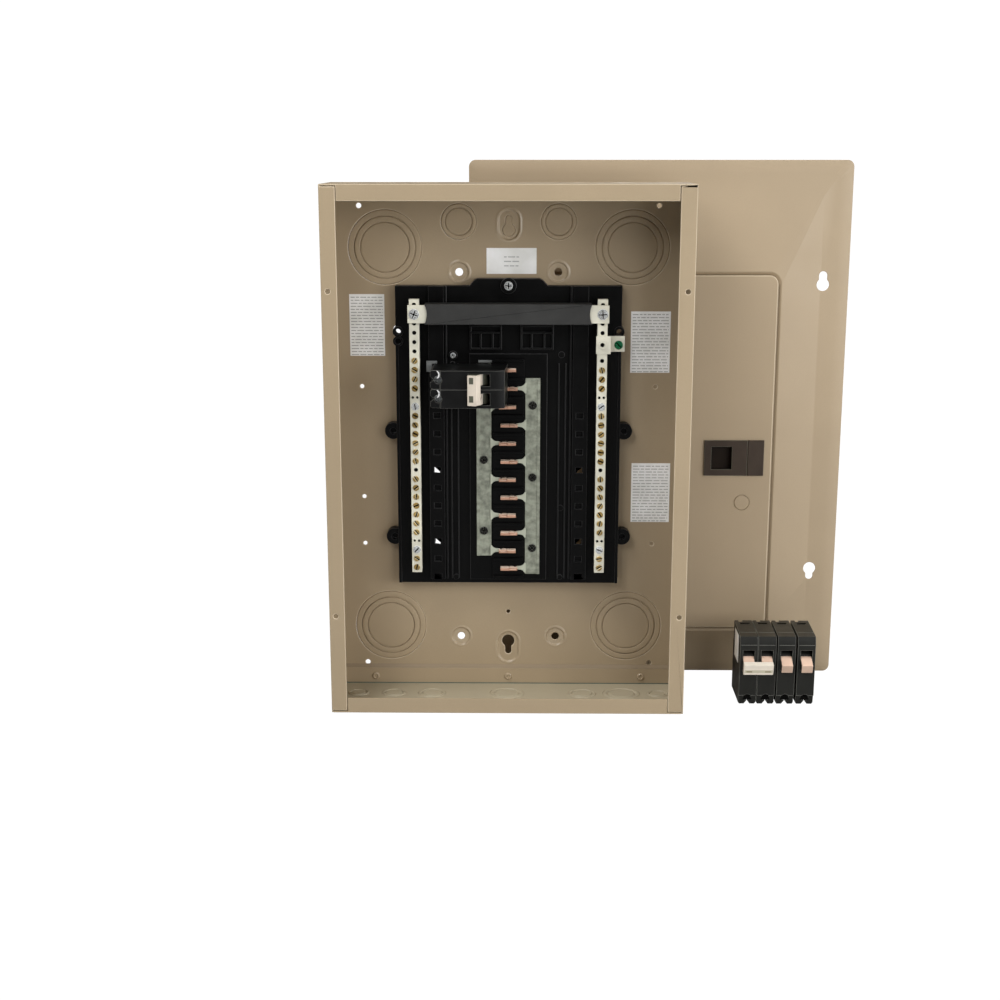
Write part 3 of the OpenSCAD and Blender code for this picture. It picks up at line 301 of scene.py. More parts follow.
def make_piece(name, bm, material, like, smooth=35):
    """A finished object from a bmesh, which rides with a CAD node's body."""
    mesh = bpy.data.meshes.new(name)
    bmesh.ops.recalc_face_normals(bm, faces=bm.faces)
    bm.to_mesh(mesh)
    bm.free()
    obj = bpy.data.objects.new(name, mesh)
    scene.collection.objects.link(obj)
    mesh.materials.append(material)
    if smooth:
        mesh.polygons.foreach_set("use_smooth", [True] * len(mesh.polygons))
        mesh.set_sharp_from_angle(angle=math.radians(smooth))
        weigh = obj.modifiers.new("even_shading", "WEIGHTED_NORMAL")
        weigh.weight = 100
        weigh.keep_sharp = True
    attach(obj, BODY_OF[like])
    return obj


def repaint(obj, look, test):
    """Gives another look to the faces whose centre and normal pass a test."""
    obj.data.materials.append(LOOKS[look])
    index = len(obj.data.materials) - 1
    for face in obj.data.polygons:
        if test(face.center, face.normal):
            face.material_index = index


def soften(node, width, segments=2, least=30, smooth=28, look=None, edge=None, flat=1.5):
    """Stands for a CAD node: the same solid with its edges rounded, and the rounded edges painted in a lighter
    look as a painted highlight if asked.
    """
    bm = bmesh.new()
    bm.from_mesh(NODES[node].data)
    bmesh.ops.remove_doubles(bm, verts=bm.verts, dist=2e-6)
    bmesh.ops.dissolve_limit(bm, angle_limit=math.radians(flat), verts=bm.verts, edges=bm.edges)
    sharp = [e for e in bm.edges if len(e.link_faces) == 2 and e.calc_face_angle(0) > math.radians(least)]
    bmesh.ops.bevel(bm, geom=sharp, offset=width * MM, segments=segments, profile=0.5, affect="EDGES",
                    clamp_overlap=False, material=1 if edge else -1)
    obj = make_piece(node + "_soft", bm, LOOKS[look or SLOT_OF[node]], node, smooth)
    if edge:
        obj.data.materials.append(LOOKS[edge])
    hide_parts(node)
    return obj


def add_box(bm, low, high):
    made = bmesh.ops.create_cube(bm, size=1)["verts"]
    for v in made:
        v.co = Vector([low[i] + (v.co[i] + 0.5) * (high[i] - low[i]) for i in range(3)])
    return made


def add_lathe(bm, centre, profile, steps=72):
    """Turns a profile of (radius, depth) about an axis along Y; the first and last points may lie on it."""
    rings = []
    for r, y in profile:
        if r <= 1e-9:
            rings.append([bm.verts.new((centre.x, y, centre.z))])
        else:
            rings.append([bm.verts.new((centre.x + r * math.cos(2 * math.pi * i / steps), y,
                                        centre.z + r * math.sin(2 * math.pi * i / steps)))
                          for i in range(steps)])
    for a, b in zip(rings, rings[1:]):
        for i in range(steps):
            j = (i + 1) % steps
            quad = [a[i % len(a)], a[j % len(a)], b[j % len(b)], b[i % len(b)]]
            corners = list(dict.fromkeys(quad))
            if len(corners) > 2:
                bm.faces.new(corners)


def centre_of(box):
    return (box[0] + box[1]) / 2


# Sheet metal: rounded bends, knockout rings, dimples and rivets --------------------------------------

SHEET = BACK - 2.7 * MM  # front surface of the enclosure's back, behind which the dimples stand out
TAB = SHEET - 1.5 * MM
INSIDE_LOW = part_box("top_end_wall")[0].x + 1 * MM
INSIDE_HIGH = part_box("top_end_wall")[1].x - 1 * MM
FACING_BACK = Matrix.Identity(4)
FACING_DOWN = Matrix.Rotation(math.radians(-90), 4, "X")
FACING_UP = Matrix.Rotation(math.radians(90), 4, "X")


def add_turned(bm, centre, profile, facing=FACING_BACK, steps=72, reach=0.0):
    """Turns (radius, depth) points, in mm, about an axis; reach draws the circle out into an oval."""
    place = Matrix.Translation(centre) @ facing
    rings = []
    for r, depth in profile:
        ring = []
        for i in range(steps if r > 0 else 1):
            a = 2 * math.pi * i / steps
            shift = 0 if r == 0 else (reach if i < steps / 2 else -reach)
            point = Vector((r * math.cos(a), depth, r * math.sin(a) + shift)) * MM
            ring.append(bm.verts.new(place @ point))
        rings.append(ring)
    for a, b in zip(rings, rings[1:]):
        for i in range(steps):
            j = (i + 1) % steps
            corners = list(dict.fromkeys([a[i % len(a)], a[j % len(a)], b[j % len(b)], b[i % len(b)]]))
            if len(corners) > 2:
                bm.faces.new(corners)


def add_prism(bm, outline, facing_point, depths, inset=0.0):
    """Pushes an outline of (x, z) points in mm between two depths; the front edge is chamfered by inset."""
    n = len(outline)
    cx = sum(p[0] for p in outline) / n
    cz = sum(p[1] for p in outline) / n
    normals = []
    for i in range(n):
        ax, az = outline[i - 1]
        bx, bz = outline[(i + 1) % n]
        dx, dz = bx - ax, bz - az
        length = math.hypot(dx, dz) or 1
        nx, nz = dz / length, -dx / length
        if nx * (outline[i][0] - cx) + nz * (outline[i][1] - cz) < 0:
            nx, nz = -nx, -nz
        normals.append((nx, nz))
    layers = []
    for depth, shrink in ((depths[0], inset), (depths[0] + inset, 0), (depths[1], 0)):
        layers.append([bm.verts.new(facing_point @ (Vector((p[0] - m[0] * shrink, depth,
                                                            p[1] - m[1] * shrink)) * MM))
                       for p, m in zip(outline, normals)])
    bm.faces.new(layers[0])
    for a, b in zip(layers, layers[1:]):
        for i in range(n):
            j = (i + 1) % n
            bm.faces.new((a[i], a[j], b[j], b[i]))
    bm.faces.new(layers[2])


def arc(cx, cz, r, start, end, steps):
    """Points on a circle, in mm, from one angle to another in degrees."""
    return [(cx + r * math.cos(math.radians(start + (end - start) * i / steps)),
             cz + r * math.sin(math.radians(start + (end - start) * i / steps))) for i in range(steps + 1)]


# The rounded bends of the enclosure and top end wall are painted a lighter enamel: a painted highlight.
soften("enclosure_wrapper", 0.8, 3, edge="bend_paint")
soften("top_end_wall", 0.6, edge="bend_paint")
bottom_wall = soften("bottom_end_wall", 0.6)
# The up-facing floor of the bottom wall takes a greener enamel, made lighter as painted light.
repaint(bottom_wall, "floor_paint", lambda c, n: n.z > 0.9 and c.y > FRONT + 3 * MM)

# A sloped strip hides the tab's top edge; its enamel is darker so that the slope's extra light is cancelled:
# painted shade.
TAB_TOP = FLOOR + 19 * MM
blend = bmesh.new()
slope = [(TAB, 0.0), (TAB + 0.4 * MM, 1.2), (TAB + 1.1 * MM, 2.6), (SHEET + 0.02 * MM, 4.0)]
ribs = [[blend.verts.new((x, y, TAB_TOP + up * MM)) for x in (INSIDE_LOW, INSIDE_HIGH)] for y, up in slope]
for a, b in zip(ribs, ribs[1:]):
    blend.faces.new((a[0], a[1], b[1], b[0]))
make_piece("tab_blend", blend, LOOKS["blend_paint"], "enclosure_wrapper", 60)
joint = bmesh.new()
add_box(joint, (INSIDE_LOW, TAB - 0.7 * MM, FLOOR + 1.5 * MM), (INSIDE_HIGH, TAB, FLOOR + 2.3 * MM))
make_piece("floor_joint", joint, LOOKS["joint_shade"], "bottom_end_wall", 0)

knockouts = islands("back_knockouts")
rings = bmesh.new()
BIG_RING = [(0, -0.5), (23.9, -0.5), (24.5, -0.3), (24.95, 0.6), (25.3, 0.6), (25.7, -0.8), (26.3, -1.1),
            (30.0, -1.1), (30.7, -0.8), (31.15, 0.6), (31.55, 0.6), (32.0, -0.3), (32.6, -0.55),
            (36.7, -0.55), (37.3, -0.35), (37.75, 0.35), (37.88, 1.3), (31.5, 1.3), (31.2, 0.9), (25.2, 0.9),
            (24.8, 1.1), (0, 1.1)]
SMALL_RING = [(0, -0.45), (12.5, -0.45), (13.05, -0.25), (13.4, 0.6), (13.75, 0.6), (14.2, -0.45),
              (14.8, -0.75), (17.0, -0.75), (17.6, -0.5), (18.05, 0.35), (18.18, 1.3), (13.6, 1.3),
              (13.3, 1.0), (0, 1.0)]
for box in knockouts:
    wide = (box[1].x - box[0].x) / MM
    middle = centre_of(box)
    middle.y = SHEET
    if wide > 60:
        add_turned(rings, middle, BIG_RING, steps=120)
    elif wide > 30:
        add_turned(rings, middle, SMALL_RING, steps=96)
    else:
        place = Matrix.Translation((middle.x, SHEET, box[0].z + 6.6 * MM))
        hole = arc(0, 0, 6.4, 120, 420, 30) + arc(0, 11.5, 3.1, 0, 180, 14)
        add_prism(rings, hole, place, (0.35, 2.4), 0.5)
rings_piece = make_piece("back_knockout_rings", rings, LOOKS["box_paint"], "back_knockouts", 40)
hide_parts("back_knockouts")

end_rings = bmesh.new()
for box in islands("end_knockouts"):
    radius = (box[1].x - box[0].x) / MM / 2
    if radius < 10:
        continue
    middle = centre_of(box)
    low = middle.z < 0
    middle.z = box[0].z + 1.5 * MM if low else box[1].z - 1.5 * MM
    ring = [(0, -0.6), (0.6, -0.6), (0.65, -0.5), (0.7, 0.4), (0.73, 0.6), (0.75, 0.4), (0.79, -0.5),
            (0.83, -0.7), (0.91, -0.7), (0.95, -0.5), (0.985, 0.3), (0.998, 0.5), (0.998, 1.4), (0.72, 1.4),
            (0.7, 1.1), (0, 1.1)]
    add_turned(end_rings, middle, [(r * radius, d) for r, d in ring], FACING_DOWN if low else FACING_UP, 96)
end_piece = make_piece("end_knockout_rings", end_rings, LOOKS["box_paint"], "end_knockouts", 40)
# The bottom wall's knockout discs take the same greener enamel with its painted light.
repaint(end_piece, "floor_paint", lambda c, n: c.z < 0)
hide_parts("end_knockouts")

DIMPLE = [(2.9, 0.02), (2.2, -0.1), (1.5, -0.32), (0.7, -0.4), (0.2, -0.25), (-0.2, 0.25), (-0.6, 0.8),
          (-1.0, 1.08), (-1.7, 1.16)]
dimples = bmesh.new()
MOUNT_X, MOUNT_Z = 50.8, 194.5
for x in (-MOUNT_X, MOUNT_X):
    for z in (-MOUNT_Z, MOUNT_Z):
        shape = [(9.8 + r, d) for r, d in DIMPLE] + [(4.9, 1.16), (4.2, 1.3), (3.98, 1.6), (3.98, 2.2)]
        add_turned(dimples, Vector((x * MM, SHEET, z * MM)), shape)
for z, reach in ((491.4, 4.5), (42.8, 6.0)):
    shape = [(11 + r, d) for r, d in DIMPLE]
    add_turned(dimples, Vector((0, SHEET, FLOOR + z * MM)), shape, reach=reach)
make_piece("pressed_dimples", dimples, LOOKS["dimple_paint"], "enclosure_wrapper", 50)

rivets = bmesh.new()
for box in islands("clinch_rivets"):
    middle = centre_of(box)
    middle.y = TAB
    if (box[1].x - box[0].x) / MM > 6:
        add_turned(rivets, middle, [(0, -0.3), (1.5, -0.3), (1.75, -0.7), (2.1, -1.5), (2.8, -1.65),
                                    (3.5, -1.3), (3.9, -0.6), (4.1, 0.0)], steps=40)
make_piece("rivet_rings", rivets, LOOKS["dimple_paint"], "clinch_rivets", 50)


# Cover and door ------------------------------------------------------------------------------------

soften("cover_trim", 0.5)


def grow_door():
    """The door a little larger on the three sides without the hinge, its edge bent round and painted a lighter
    enamel there: a painted highlight.
    """
    low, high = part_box("door")
    bm = bmesh.new()
    bm.from_mesh(NODES["door"].data)
    bmesh.ops.remove_doubles(bm, verts=bm.verts, dist=2e-6)
    bmesh.ops.dissolve_limit(bm, angle_limit=math.radians(1.5), verts=bm.verts, edges=bm.edges)
    grow = 1.0 * MM
    for v in bm.verts:
        if high.x - v.co.x < 10 * MM:
            v.co.x += grow * (1 - (high.x - v.co.x) / (10 * MM))
        for edge, way in ((low.z, -1), (high.z, 1)):
            near = abs(v.co.z - edge)
            if near < 10 * MM:
                v.co.z += way * grow * (1 - near / (10 * MM))
    skin = [e for e in bm.edges if len(e.link_faces) == 2 and e.calc_face_angle(0) > math.radians(50)
            and all(v.co.y < low.y + 0.01 * MM for v in e.verts)]
    outer = [e for e in skin if max(abs(v.co.x - high.x) for v in e.verts) < 11 * MM
             or max(abs(v.co.x - low.x) for v in e.verts) < 11 * MM
             or all(v.co.z < low.z + 11 * MM for v in e.verts) or all(v.co.z > high.z - 11 * MM for v in e.verts)]
    bmesh.ops.bevel(bm, geom=outer, offset=1.1 * MM, segments=3, profile=0.5, affect="EDGES",
                    clamp_overlap=False, material=1)
    piece = make_piece("door_soft", bm, LOOKS["cover_paint"], "door", 35)
    piece.data.materials.append(LOOKS["bend_paint"])
    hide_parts("door")


grow_door()
door_low, door_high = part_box("door")
# A strip of the darker enamel covers the gap beside the door: a painted shadow band.
gap_strip = bmesh.new()
add_box(gap_strip, (door_high.x + 1.05 * MM, door_low.y + 0.9 * MM, door_low.z + 8 * MM),
        (door_high.x + 1.8 * MM, door_low.y + 1.3 * MM, door_high.z - 8 * MM))
make_piece("door_gap_painted_shade", gap_strip, LOOKS["blend_paint"], "cover_trim", 0)
lock_low, lock_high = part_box("lock_knockout")
lock = bmesh.new()
lock_middle = centre_of((lock_low, lock_high))
lock_middle.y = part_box("door")[0].y
add_turned(lock, lock_middle, [(0, -0.1), (7.0, -0.15), (7.7, 0.0), (8.1, 0.9), (8.5, 1.0), (8.69, 0.4),
                               (8.69, 1.3), (0, 1.3)], steps=64)
lock_piece = make_piece("lock_knockout_disc", lock, LOOKS["cover_paint"], "lock_knockout", 40)
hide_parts("lock_knockout")
# The slide's rounded edges take the lighter olive grey: a painted highlight round its frame.
slide = soften("latch_slide", 0.4, edge="olive_window")
slide_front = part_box("latch_slide")[0].y
# The slide's faces deep in its cup are painted near-black: painted shade in the cup.
repaint(slide, "latch_cup", lambda c, n: c.y > slide_front + 2.5 * MM)
soften("latch_housing", 0.4)


# Labels: blank sheets with rows of faint strokes -----------------------------------------------------

rng = random.Random(7)
strokes = bmesh.new()
for sheet in islands("blank_labels"):
    left, right = sheet[0].x, sheet[1].x
    top_sheet = sheet[0].z > 0.18
    tall = (sheet[1].z - sheet[0].z) / MM
    rows = 3 if top_sheet else int(tall / 3.1)
    for row in range(rows):
        z = sheet[1].z - (9 + row * 4.5) * MM if top_sheet else sheet[1].z - (3.2 + row * 3.1) * MM
        reach = 0.3 if top_sheet else 0.92
        x = (left + right) / 2 - (right - left) / 2 * reach
        end = (left + right) / 2 + (right - left) / 2 * reach
        while x < end:
            stroke = min(rng.uniform(2.5, 8) * MM, end - x)
            add_box(strokes, (x, sheet[0].y - 0.04 * MM, z - 0.45 * MM), (x + stroke, sheet[0].y, z + 0.45 * MM))
            x += stroke + 1.2 * MM
make_piece("label_strokes", strokes, LOOKS["label_ink"], "blank_labels", 0)


# Breakers ------------------------------------------------------------------------------------------

# The cases' rounded edges are painted a lighter grey: painted highlights.
soften("main_breaker_case", 0.3, look="case_black", edge="case_edge")
for case_node in ("pair_breaker_case", "single_1_case", "single_2_case"):
    case = soften(case_node, 0.3, look="loose_black", edge="loose_edge")
    # Up-facing faces of the loose cases are painted a lighter grey: painted light on their tops.
    repaint(case, "loose_top", lambda c, n: n.z > 0.5 and abs(n.x) < 0.3)
for small_node, small_width, small_edge in (
        ("backpan", 0.3, "black_edge"), ("stab_barrier", 0.35, None), ("hold_down_pad", 0.4, None),
        ("neutral_bar_left", 0.3, None), ("neutral_bar_right", 0.3, None), ("neutral_strap", 0.4, None),
        ("bonding_strap", 0.4, None)):
    soften(small_node, small_width, edge=small_edge)
soften("strap_insulator", 0.4, flat=6)
BUS_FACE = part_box("bus_bar_left")[0].y + 0.35 * MM
for bus in ("bus_bar_left", "bus_bar_right"):
    repaint(soften(bus, 0.3), "bus_lip", lambda c, n: c.y < BUS_FACE)

main_lever = soften("main_breaker_handle", 0.5, look="main_cream")
lever_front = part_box("main_breaker_handle")[0].y
repaint(main_lever, "olive_window", lambda c, n: c.y > lever_front + 7.5 * MM)


def largest_face(obj, test):
    """Centre and normal of the largest face that passes a test."""
    face = max((f for f in obj.data.polygons if test(f.center, f.normal)), key=lambda f: f.area)
    return face.center.copy(), face.normal.copy()


bar_centre, bar_normal = largest_face(main_lever, lambda c, n: n.y < -0.7)
windows = bmesh.new()
for up in (-11.6, 6.6):
    add_box(windows, (-2.9 * MM, -0.12 * MM, up * MM), (1.6 * MM, 0.2 * MM, (up + 6.4) * MM))
bmesh.ops.rotate(windows, cent=(0, 0, 0), verts=windows.verts,
                 matrix=Vector((0, -1, 0)).rotation_difference(bar_normal).to_matrix())
bmesh.ops.translate(windows, vec=bar_centre, verts=windows.verts)
make_piece("main_handle_windows", windows, LOOKS["olive_window"], "main_breaker_handle", 0)
ridges = bmesh.new()
for i in range(13):
    z = bar_centre.z + (-15 + 2.3 * i) * MM
    add_box(ridges, (bar_centre.x + 4.4 * MM, bar_centre.y + 0.9 * MM, z), (bar_centre.x + 5.5 * MM,
            bar_centre.y + 3.0 * MM, z + 1.2 * MM))
make_piece("main_handle_ridges", ridges, LOOKS["cream_plastic"], "main_breaker_handle", 0)

tie = soften("pair_handle_tie", 0.6)
tie_centre, tie_normal = largest_face(tie, lambda c, n: n.y < -0.5)
tie_turn = Vector((0, -1, 0)).rotation_difference(tie_normal).to_matrix()
half = (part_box("pair_handle_tie")[1].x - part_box("pair_handle_tie")[0].x) / MM / 2 - 0.8
for name, look, marks in (("tie_underside", "tie_under", [(-half, half, -3.6, -0.2)]),
                          ("tie_marks", "tie_mark", [(-half + 2, -half + 8, -3.0, -1.2),
                                                     (half - 8, half - 2, -3.0, -1.2)])):
    bm = bmesh.new()
    for left, right, bottom, top in marks:
        raise_by = 0.1 if name == "tie_underside" else 0.16
        add_box(bm, (left * MM, -raise_by * MM, bottom * MM), (right * MM, 0.1 * MM, top * MM))
    bmesh.ops.rotate(bm, cent=(0, 0, 0), verts=bm.verts, matrix=tie_turn)
    bmesh.ops.translate(bm, vec=tie_centre, verts=bm.verts)
    make_piece(name, bm, LOOKS[look], "pair_handle_tie", 0)

# Bright crescents over the main breaker's lug screws: painted highlights.
crescents = bmesh.new()
case_mesh = NODES["main_breaker_case"].data
case_skin = BVHTree.FromPolygons([v.co for v in case_mesh.vertices], [p.vertices for p in case_mesh.polygons])
for head in islands("main_lug_screws"):
    middle = centre_of(head)
    if (head[1].x - head[0].x) / MM < 5:
        continue
    middle += Vector((-2.3, 0, 1.6)) * MM
    hit = case_skin.ray_cast(Vector((middle.x + 3.4 * MM, FRONT - 0.05, middle.z + 3.4 * MM)), Vector((0, 1, 0)))
    middle.y = hit[0].y - 0.35 * MM
    outline = arc(0, 3.4, 4.2, -68, 68, 14) + arc(-2.1, 3.4, 4.9, 52, -52, 12)
    add_prism(crescents, outline, Matrix.Translation(middle), (0.0, 1.2), 0.25)
make_piece("main_lug_painted_highlights", crescents, LOOKS["bright_edge"], "main_lug_screws", 30)

details = {"pair_breaker_case": 2, "single_1_case": 1, "single_2_case": 1}
for case_node, poles in details.items():
    low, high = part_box(case_node)
    wide = (high.x - low.x) / poles
    lines = bmesh.new()
    dashes = bmesh.new()
    for pole in range(poles):
        x0, x1 = low.x + wide * pole + 1 * MM, low.x + wide * (pole + 1) - 1 * MM
        z = high.z - 11.5 * MM
        add_box(lines, (x0, low.y - 0.12 * MM, z), (x1, low.y + 0.2 * MM, z + 0.45 * MM))
        add_box(lines, (x0, low.y + 9 * MM, high.z - 0.1 * MM), (x1, low.y + 9.4 * MM, high.z + 0.1 * MM))
        middle = (x0 + x1) / 2
        add_box(dashes, (middle - 4.4 * MM, low.y + 3.2 * MM, low.z + 5 * MM),
                (middle + 4.4 * MM, low.y + 4 * MM, low.z + 12 * MM))
        add_box(dashes, (x0 + 4 * MM, low.y + 42 * MM, high.z - 0.1 * MM),
                (x1 - 3 * MM, low.y + 45 * MM, high.z + 0.1 * MM))
    # The ridge lines on the loose cases are painted the lighter edge grey: painted highlights.
    make_piece(case_node + "_ridges", lines, LOOKS["loose_edge"], case_node, 0)
    # Near-black patches on the case front and top: painted shade in its openings.
    make_piece(case_node + "_marks", dashes, LOOKS["dark_hole"], case_node, 0)
case_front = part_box("single_1_case")[0].y
for lever_node in ("pair_handles", "single_1_handle", "single_2_handle"):
    lever = soften(lever_node, 0.5)
    # Down-facing lever faces are painted a darker sand: painted shade on their undersides.
    repaint(lever, "sand_under", lambda c, n: n.z < -0.3)
    # The lever faces behind the case front are painted the case's black: painted shade in the slot.
    repaint(lever, "loose_black", lambda c, n: c.y > case_front + 0.3 * MM)
# The loose breakers' lug screws and lugs are painted dark: painted shade in their recesses.
for node in ("pair_lug_screws", "single_1_screw", "single_2_screw", "pair_breaker_lugs", "single_1_lug",
             "single_2_lug"):
    set_material(NODES[node], LOOKS["terminal_dark"])


# Screws --------------------------------------------------------------------------------------------

def add_slotted(bm, place, r, low, high, slot, turn, cross=False, chamfer=0.35):
    """Raised quarters or halves of a screw head between depths low and high, with slots between them."""
    spin = place @ Matrix.Rotation(turn, 4, "Y")
    gap = slot / 2
    edge = math.degrees(math.asin(gap / r))
    spans = [(edge + 90 * k, 90 - edge + 90 * k) for k in range(4)] if cross else [(edge, 180 - edge),
                                                                                 (180 + edge, 360 - edge)]
    for start, end in spans:
        outline = arc(0, 0, r, start, end, 12 if cross else 20)
        if cross:
            middle = math.radians((start + end) / 2)
            reach = gap * math.sqrt(2)
            outline.append((reach * math.cos(middle), reach * math.sin(middle)))
        add_prism(bm, outline, spin, (high, low), chamfer)


def screw_heads(node, r, height, slot, deep, cross=False, rim=None, edge="bright_edge"):
    """Finished heads in place of a node's plain ones, each turned its own way; the shanks stay plain."""
    rng = random.Random(len(node) * 31)
    bm = bmesh.new()
    floors = bmesh.new()
    for box in islands(node):
        head = (box[1].x - box[0].x) / MM / 2
        k = head / r
        place = Matrix.Translation((centre_of(box).x, box[0].y + height * MM, centre_of(box).z))
        if rim:
            add_turned(bm, place.translation, [(0, -0.3 * height)] + [(a * head, -b * height) for a, b in rim]
                       + [(head, 0.0), (head * 0.5, 0.02)], steps=40)
        body = head * (0.74 if rim else 0.97)
        base = -(height - deep)
        add_turned(bm, place.translation, [(0, base + 0.05), (body * 0.9, base + 0.05), (body, 0), (0, 0)],
                   steps=40)
        # A near-black disc on each slot floor: painted shade in the slot.
        add_turned(floors, place.translation, [(0, base), (body * 0.96, base), (body * 0.96, base + 0.04),
                                               (0, base + 0.04)], steps=40)
        add_slotted(bm, place, body, base, -height, slot * k, rng.uniform(0, math.pi), cross)
        shank = (box[1].y - place.translation.y) / MM
        if shank > 0.5:
            add_turned(bm, place.translation, [(0, 0), (head * 0.45, 0), (head * 0.45, shank * 0.96),
                                               (0, shank * 0.99)], steps=20)
    piece = make_piece(node + "_heads", bm, LOOKS[SLOT_OF[node]], node, 30)
    # Chamfer faces turned to the front take the edge look: a painted highlight, except the bonding screw's own
    # green.
    repaint(piece, edge, lambda c, n: 0.35 < -n.y < 0.93)
    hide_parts(node)
    make_piece(node + "_slots", floors, LOOKS["dark_hole"], node, 30)


FLANGE_RIM = [(0.80, 0.34), (0.92, 0.30), (0.99, 0.16)]
screw_heads("set_screws", 3.4, 1.1, 1.35, 0.85, edge="brass_edge")
screw_heads("bar_mount_screws", 4.2, 1.8, 1.2, 1.0, rim=FLANGE_RIM)
screw_heads("strap_screws", 5.6, 3.0, 1.3, 1.2, cross=True, rim=FLANGE_RIM)
screw_heads("backpan_screws", 4.4, 2.4, 1.2, 1.0, cross=True, rim=FLANGE_RIM)
screw_heads("bonding_screw", 4.5, 2.6, 1.2, 1.2, rim=FLANGE_RIM, edge="green_screw")
screw_heads("bus_screws", 4.4, 2.0, 1.2, 1.0, cross=True, edge="case_edge")

# Near-black strips inside the bars behind their holes: painted shade in the holes.
linings = bmesh.new()
for bar in ("neutral_bar_left", "neutral_bar_right"):
    low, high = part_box(bar)
    middle = (low.x + high.x) / 2
    add_box(linings, (middle - 3 * MM, low.y + 1.6 * MM, low.z + 4 * MM),
            (middle + 3 * MM, low.y + 1.9 * MM, high.z - 4 * MM))
make_piece("bar_hole_painted_shade", linings, LOOKS["dark_hole"], "neutral_bar_left", 0)


# Stabs ---------------------------------------------------------------------------------------------

stabs = bmesh.new()
roots = bmesh.new()
for box in islands("stab_blades"):
    way = 1 if abs(box[1].x) > abs(box[0].x) else -1
    z = (box[0].z + box[1].z) / 2
    front = box[0].y
    strips = [((-8.0, 1.0), 0.0, (-1.5, 1.6)), ((1.6, 8.4), 0.3, (-1.5, 0.2)), ((1.6, 6.4), 1.0, (0.75, 1.75)),
              ((-3.6, 9.6), 2.6, (-2.1, 1.2))]
    for (a, b), drop, (bottom, top) in strips:
        x = sorted((a * way, b * way))
        add_box(stabs, (x[0] * MM, front + drop * MM, z + bottom * MM), (x[1] * MM, box[1].y, z + top * MM))
    root = [(8.6, -1.5), (13.2, -1.9), (15.4, -2.9), (18.4, -4.8), (18.4, 4.8), (15.4, 2.9), (13.2, 1.9),
            (8.6, 1.5)]
    add_prism(roots, [(way * px, pz) for px, pz in root],
              Matrix.Translation((0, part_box("bus_bar_left")[0].y + 0.45 * MM, z)), (0.0, 0.4), 0.2)
edges = [e for e in stabs.edges]
bmesh.ops.bevel(stabs, geom=edges, offset=0.55 * MM, segments=3, profile=0.5, affect="EDGES",
                clamp_overlap=True)
stab_piece = make_piece("stab_strips", stabs, LOOKS["copper"], "stab_blades", 40)
# Upward faces of the stab strips are painted cream: a painted highlight on their tops.
repaint(stab_piece, "sand_tip", lambda c, n: n.z > 0.4)
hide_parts("stab_blades")
# The cream plates over the finger roots are a painted highlight on the copper.
make_piece("stab_roots", roots, LOOKS["stab_root"], "stab_blades", 30)


# Stage: camera, light and floor --------------------------------------------------------------------

camera = bpy.data.objects.new("camera", bpy.data.cameras.new("camera"))
scene.collection.objects.link(camera)
scene.camera = camera
camera.location = (0.01665, FRONT - 1.61508, FLOOR + 0.56427)
camera.rotation_mode = "QUATERNION"
camera.rotation_quaternion = Vector((-0.01445, 0.96832, -0.24930)).to_track_quat("-Z", "Y")
camera.data.sensor_width = 36
camera.data.lens = 59.29
camera.data.shift_y = 0.0745
camera.data.clip_start = 0.05
camera.data.clip_end = 60


def area_light(name, place, aim, size, power, colour=(1, 1, 1)):
    light = bpy.data.lights.new(name, "AREA")
    light.shape = "RECTANGLE"
    light.size, light.size_y = size
    light.energy = power
    light.color = colour
    obj = bpy.data.objects.new(name, light)
    scene.collection.objects.link(obj)
    obj.location = place
    obj.rotation_mode = "QUATERNION"
    obj.rotation_quaternion = (Vector(aim) - Vector(place)).to_track_quat("-Z", "Y")
    return obj


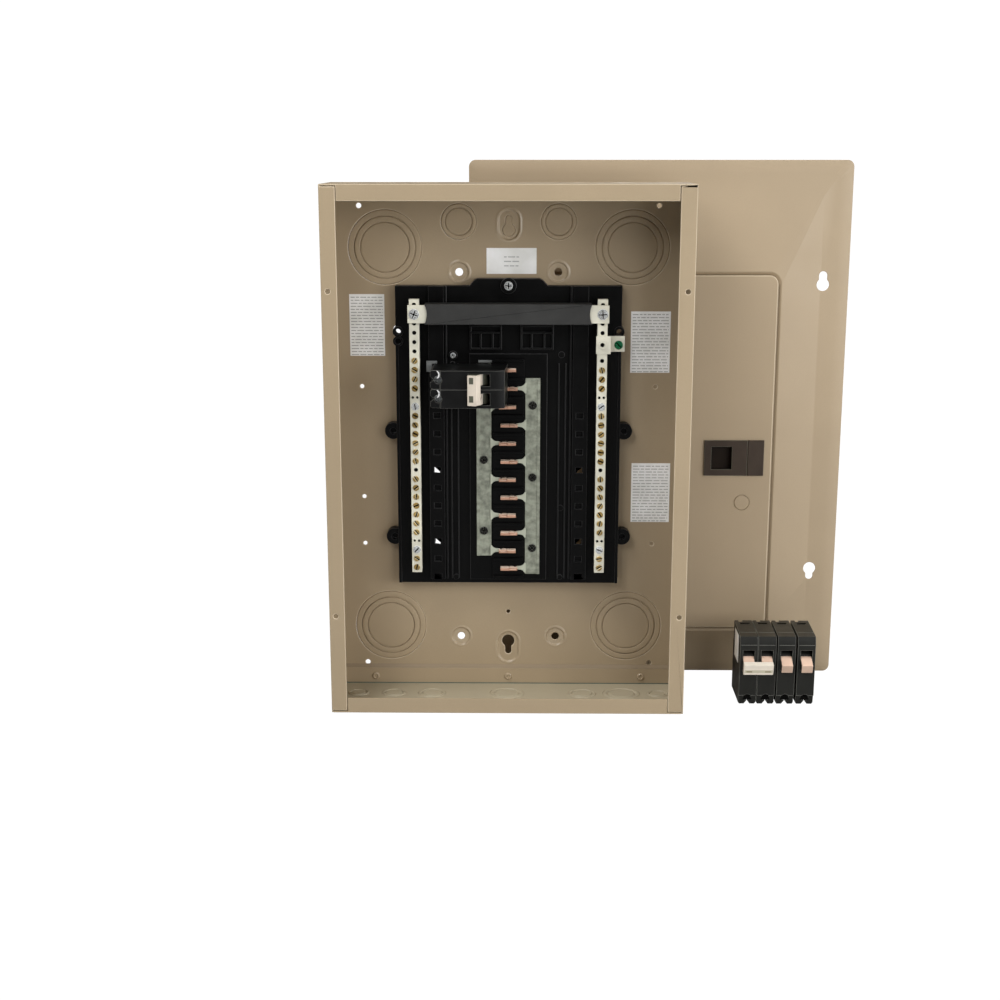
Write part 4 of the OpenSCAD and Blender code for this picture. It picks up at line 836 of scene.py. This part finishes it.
MIDDLE = Vector((0.1, 0.0, 0.02))
SOFTBOXES = [  # azimuth and elevation round the object, in degrees, and power in watts
    (-50, 56, 28.5), (-25, 32, 13.5), (25, 32, 4.8), (25, 8, 8.0), (50, 8, 18.5), (75, 32, 17.0),
    (160, 40, 12.0), (-140, 30, 12.0),
]
for turn, climb, power in SOFTBOXES:
    t, c = math.radians(turn), math.radians(climb)
    away = Vector((math.sin(t) * math.cos(c), -math.cos(t) * math.cos(c), math.sin(c)))
    area_light(f"softbox_{turn}_{climb}", MIDDLE + away * 2.3, MIDDLE, (0.9, 0.9), power)


def seen_and_felt(tree, seen, felt):
    """Chooses one shader for what the camera sees and another for the light that reaches the object."""
    path = tree.nodes.new("ShaderNodeLightPath")
    choose = tree.nodes.new("ShaderNodeMixShader")
    tree.links.new(path.outputs["Is Camera Ray"], choose.inputs[0])
    tree.links.new(felt, choose.inputs[1])
    tree.links.new(seen, choose.inputs[2])
    return choose.outputs[0]


world = bpy.data.worlds.new("studio")
scene.world = world
world.use_nodes = True
world_tree = world.node_tree
dim = world_tree.nodes["Background"]
dim.inputs["Color"].default_value = (1, 1, 1, 1)
dim.inputs["Strength"].default_value = 0.03
bright = world_tree.nodes.new("ShaderNodeBackground")
bright.inputs["Color"].default_value = (1, 1, 1, 1)
bright.inputs["Strength"].default_value = 1.05
world_out = next(n for n in world_tree.nodes if n.type == "OUTPUT_WORLD")
world_tree.links.new(seen_and_felt(world_tree, bright.outputs[0], dim.outputs[0]), world_out.inputs["Surface"])

floor_mesh = bpy.data.meshes.new("studio_floor")
floor_mesh.from_pydata([(-30, -30, FLOOR), (30, -30, FLOOR), (30, 30, FLOOR), (-30, 30, FLOOR)], [],
                       [(0, 1, 2, 3)])
floor = bpy.data.objects.new("studio_floor", floor_mesh)
scene.collection.objects.link(floor)
floor_look = Look("pale_floor")
floor_look.colour(floor_look.mix(floor_look.remap(floor_look.noise(2, 2), 0, 1), (0.55, 0.55, 0.55, 1),
                                 (0.56, 0.56, 0.56, 1)))
floor_look.rough(0.9)
floor_look.put(Specular_IOR_Level=0.0)
glow = floor_look.node("ShaderNodeEmission")
glow.inputs["Strength"].default_value = 1.05
floor_out = next(n for n in floor_look.tree.nodes if n.type == "OUTPUT_MATERIAL")
floor_look.join(seen_and_felt(floor_look.tree, glow.outputs[0], floor_look.shader.outputs[0]),
                floor_out.inputs["Surface"])
floor_mesh.materials.append(floor_look.mat)
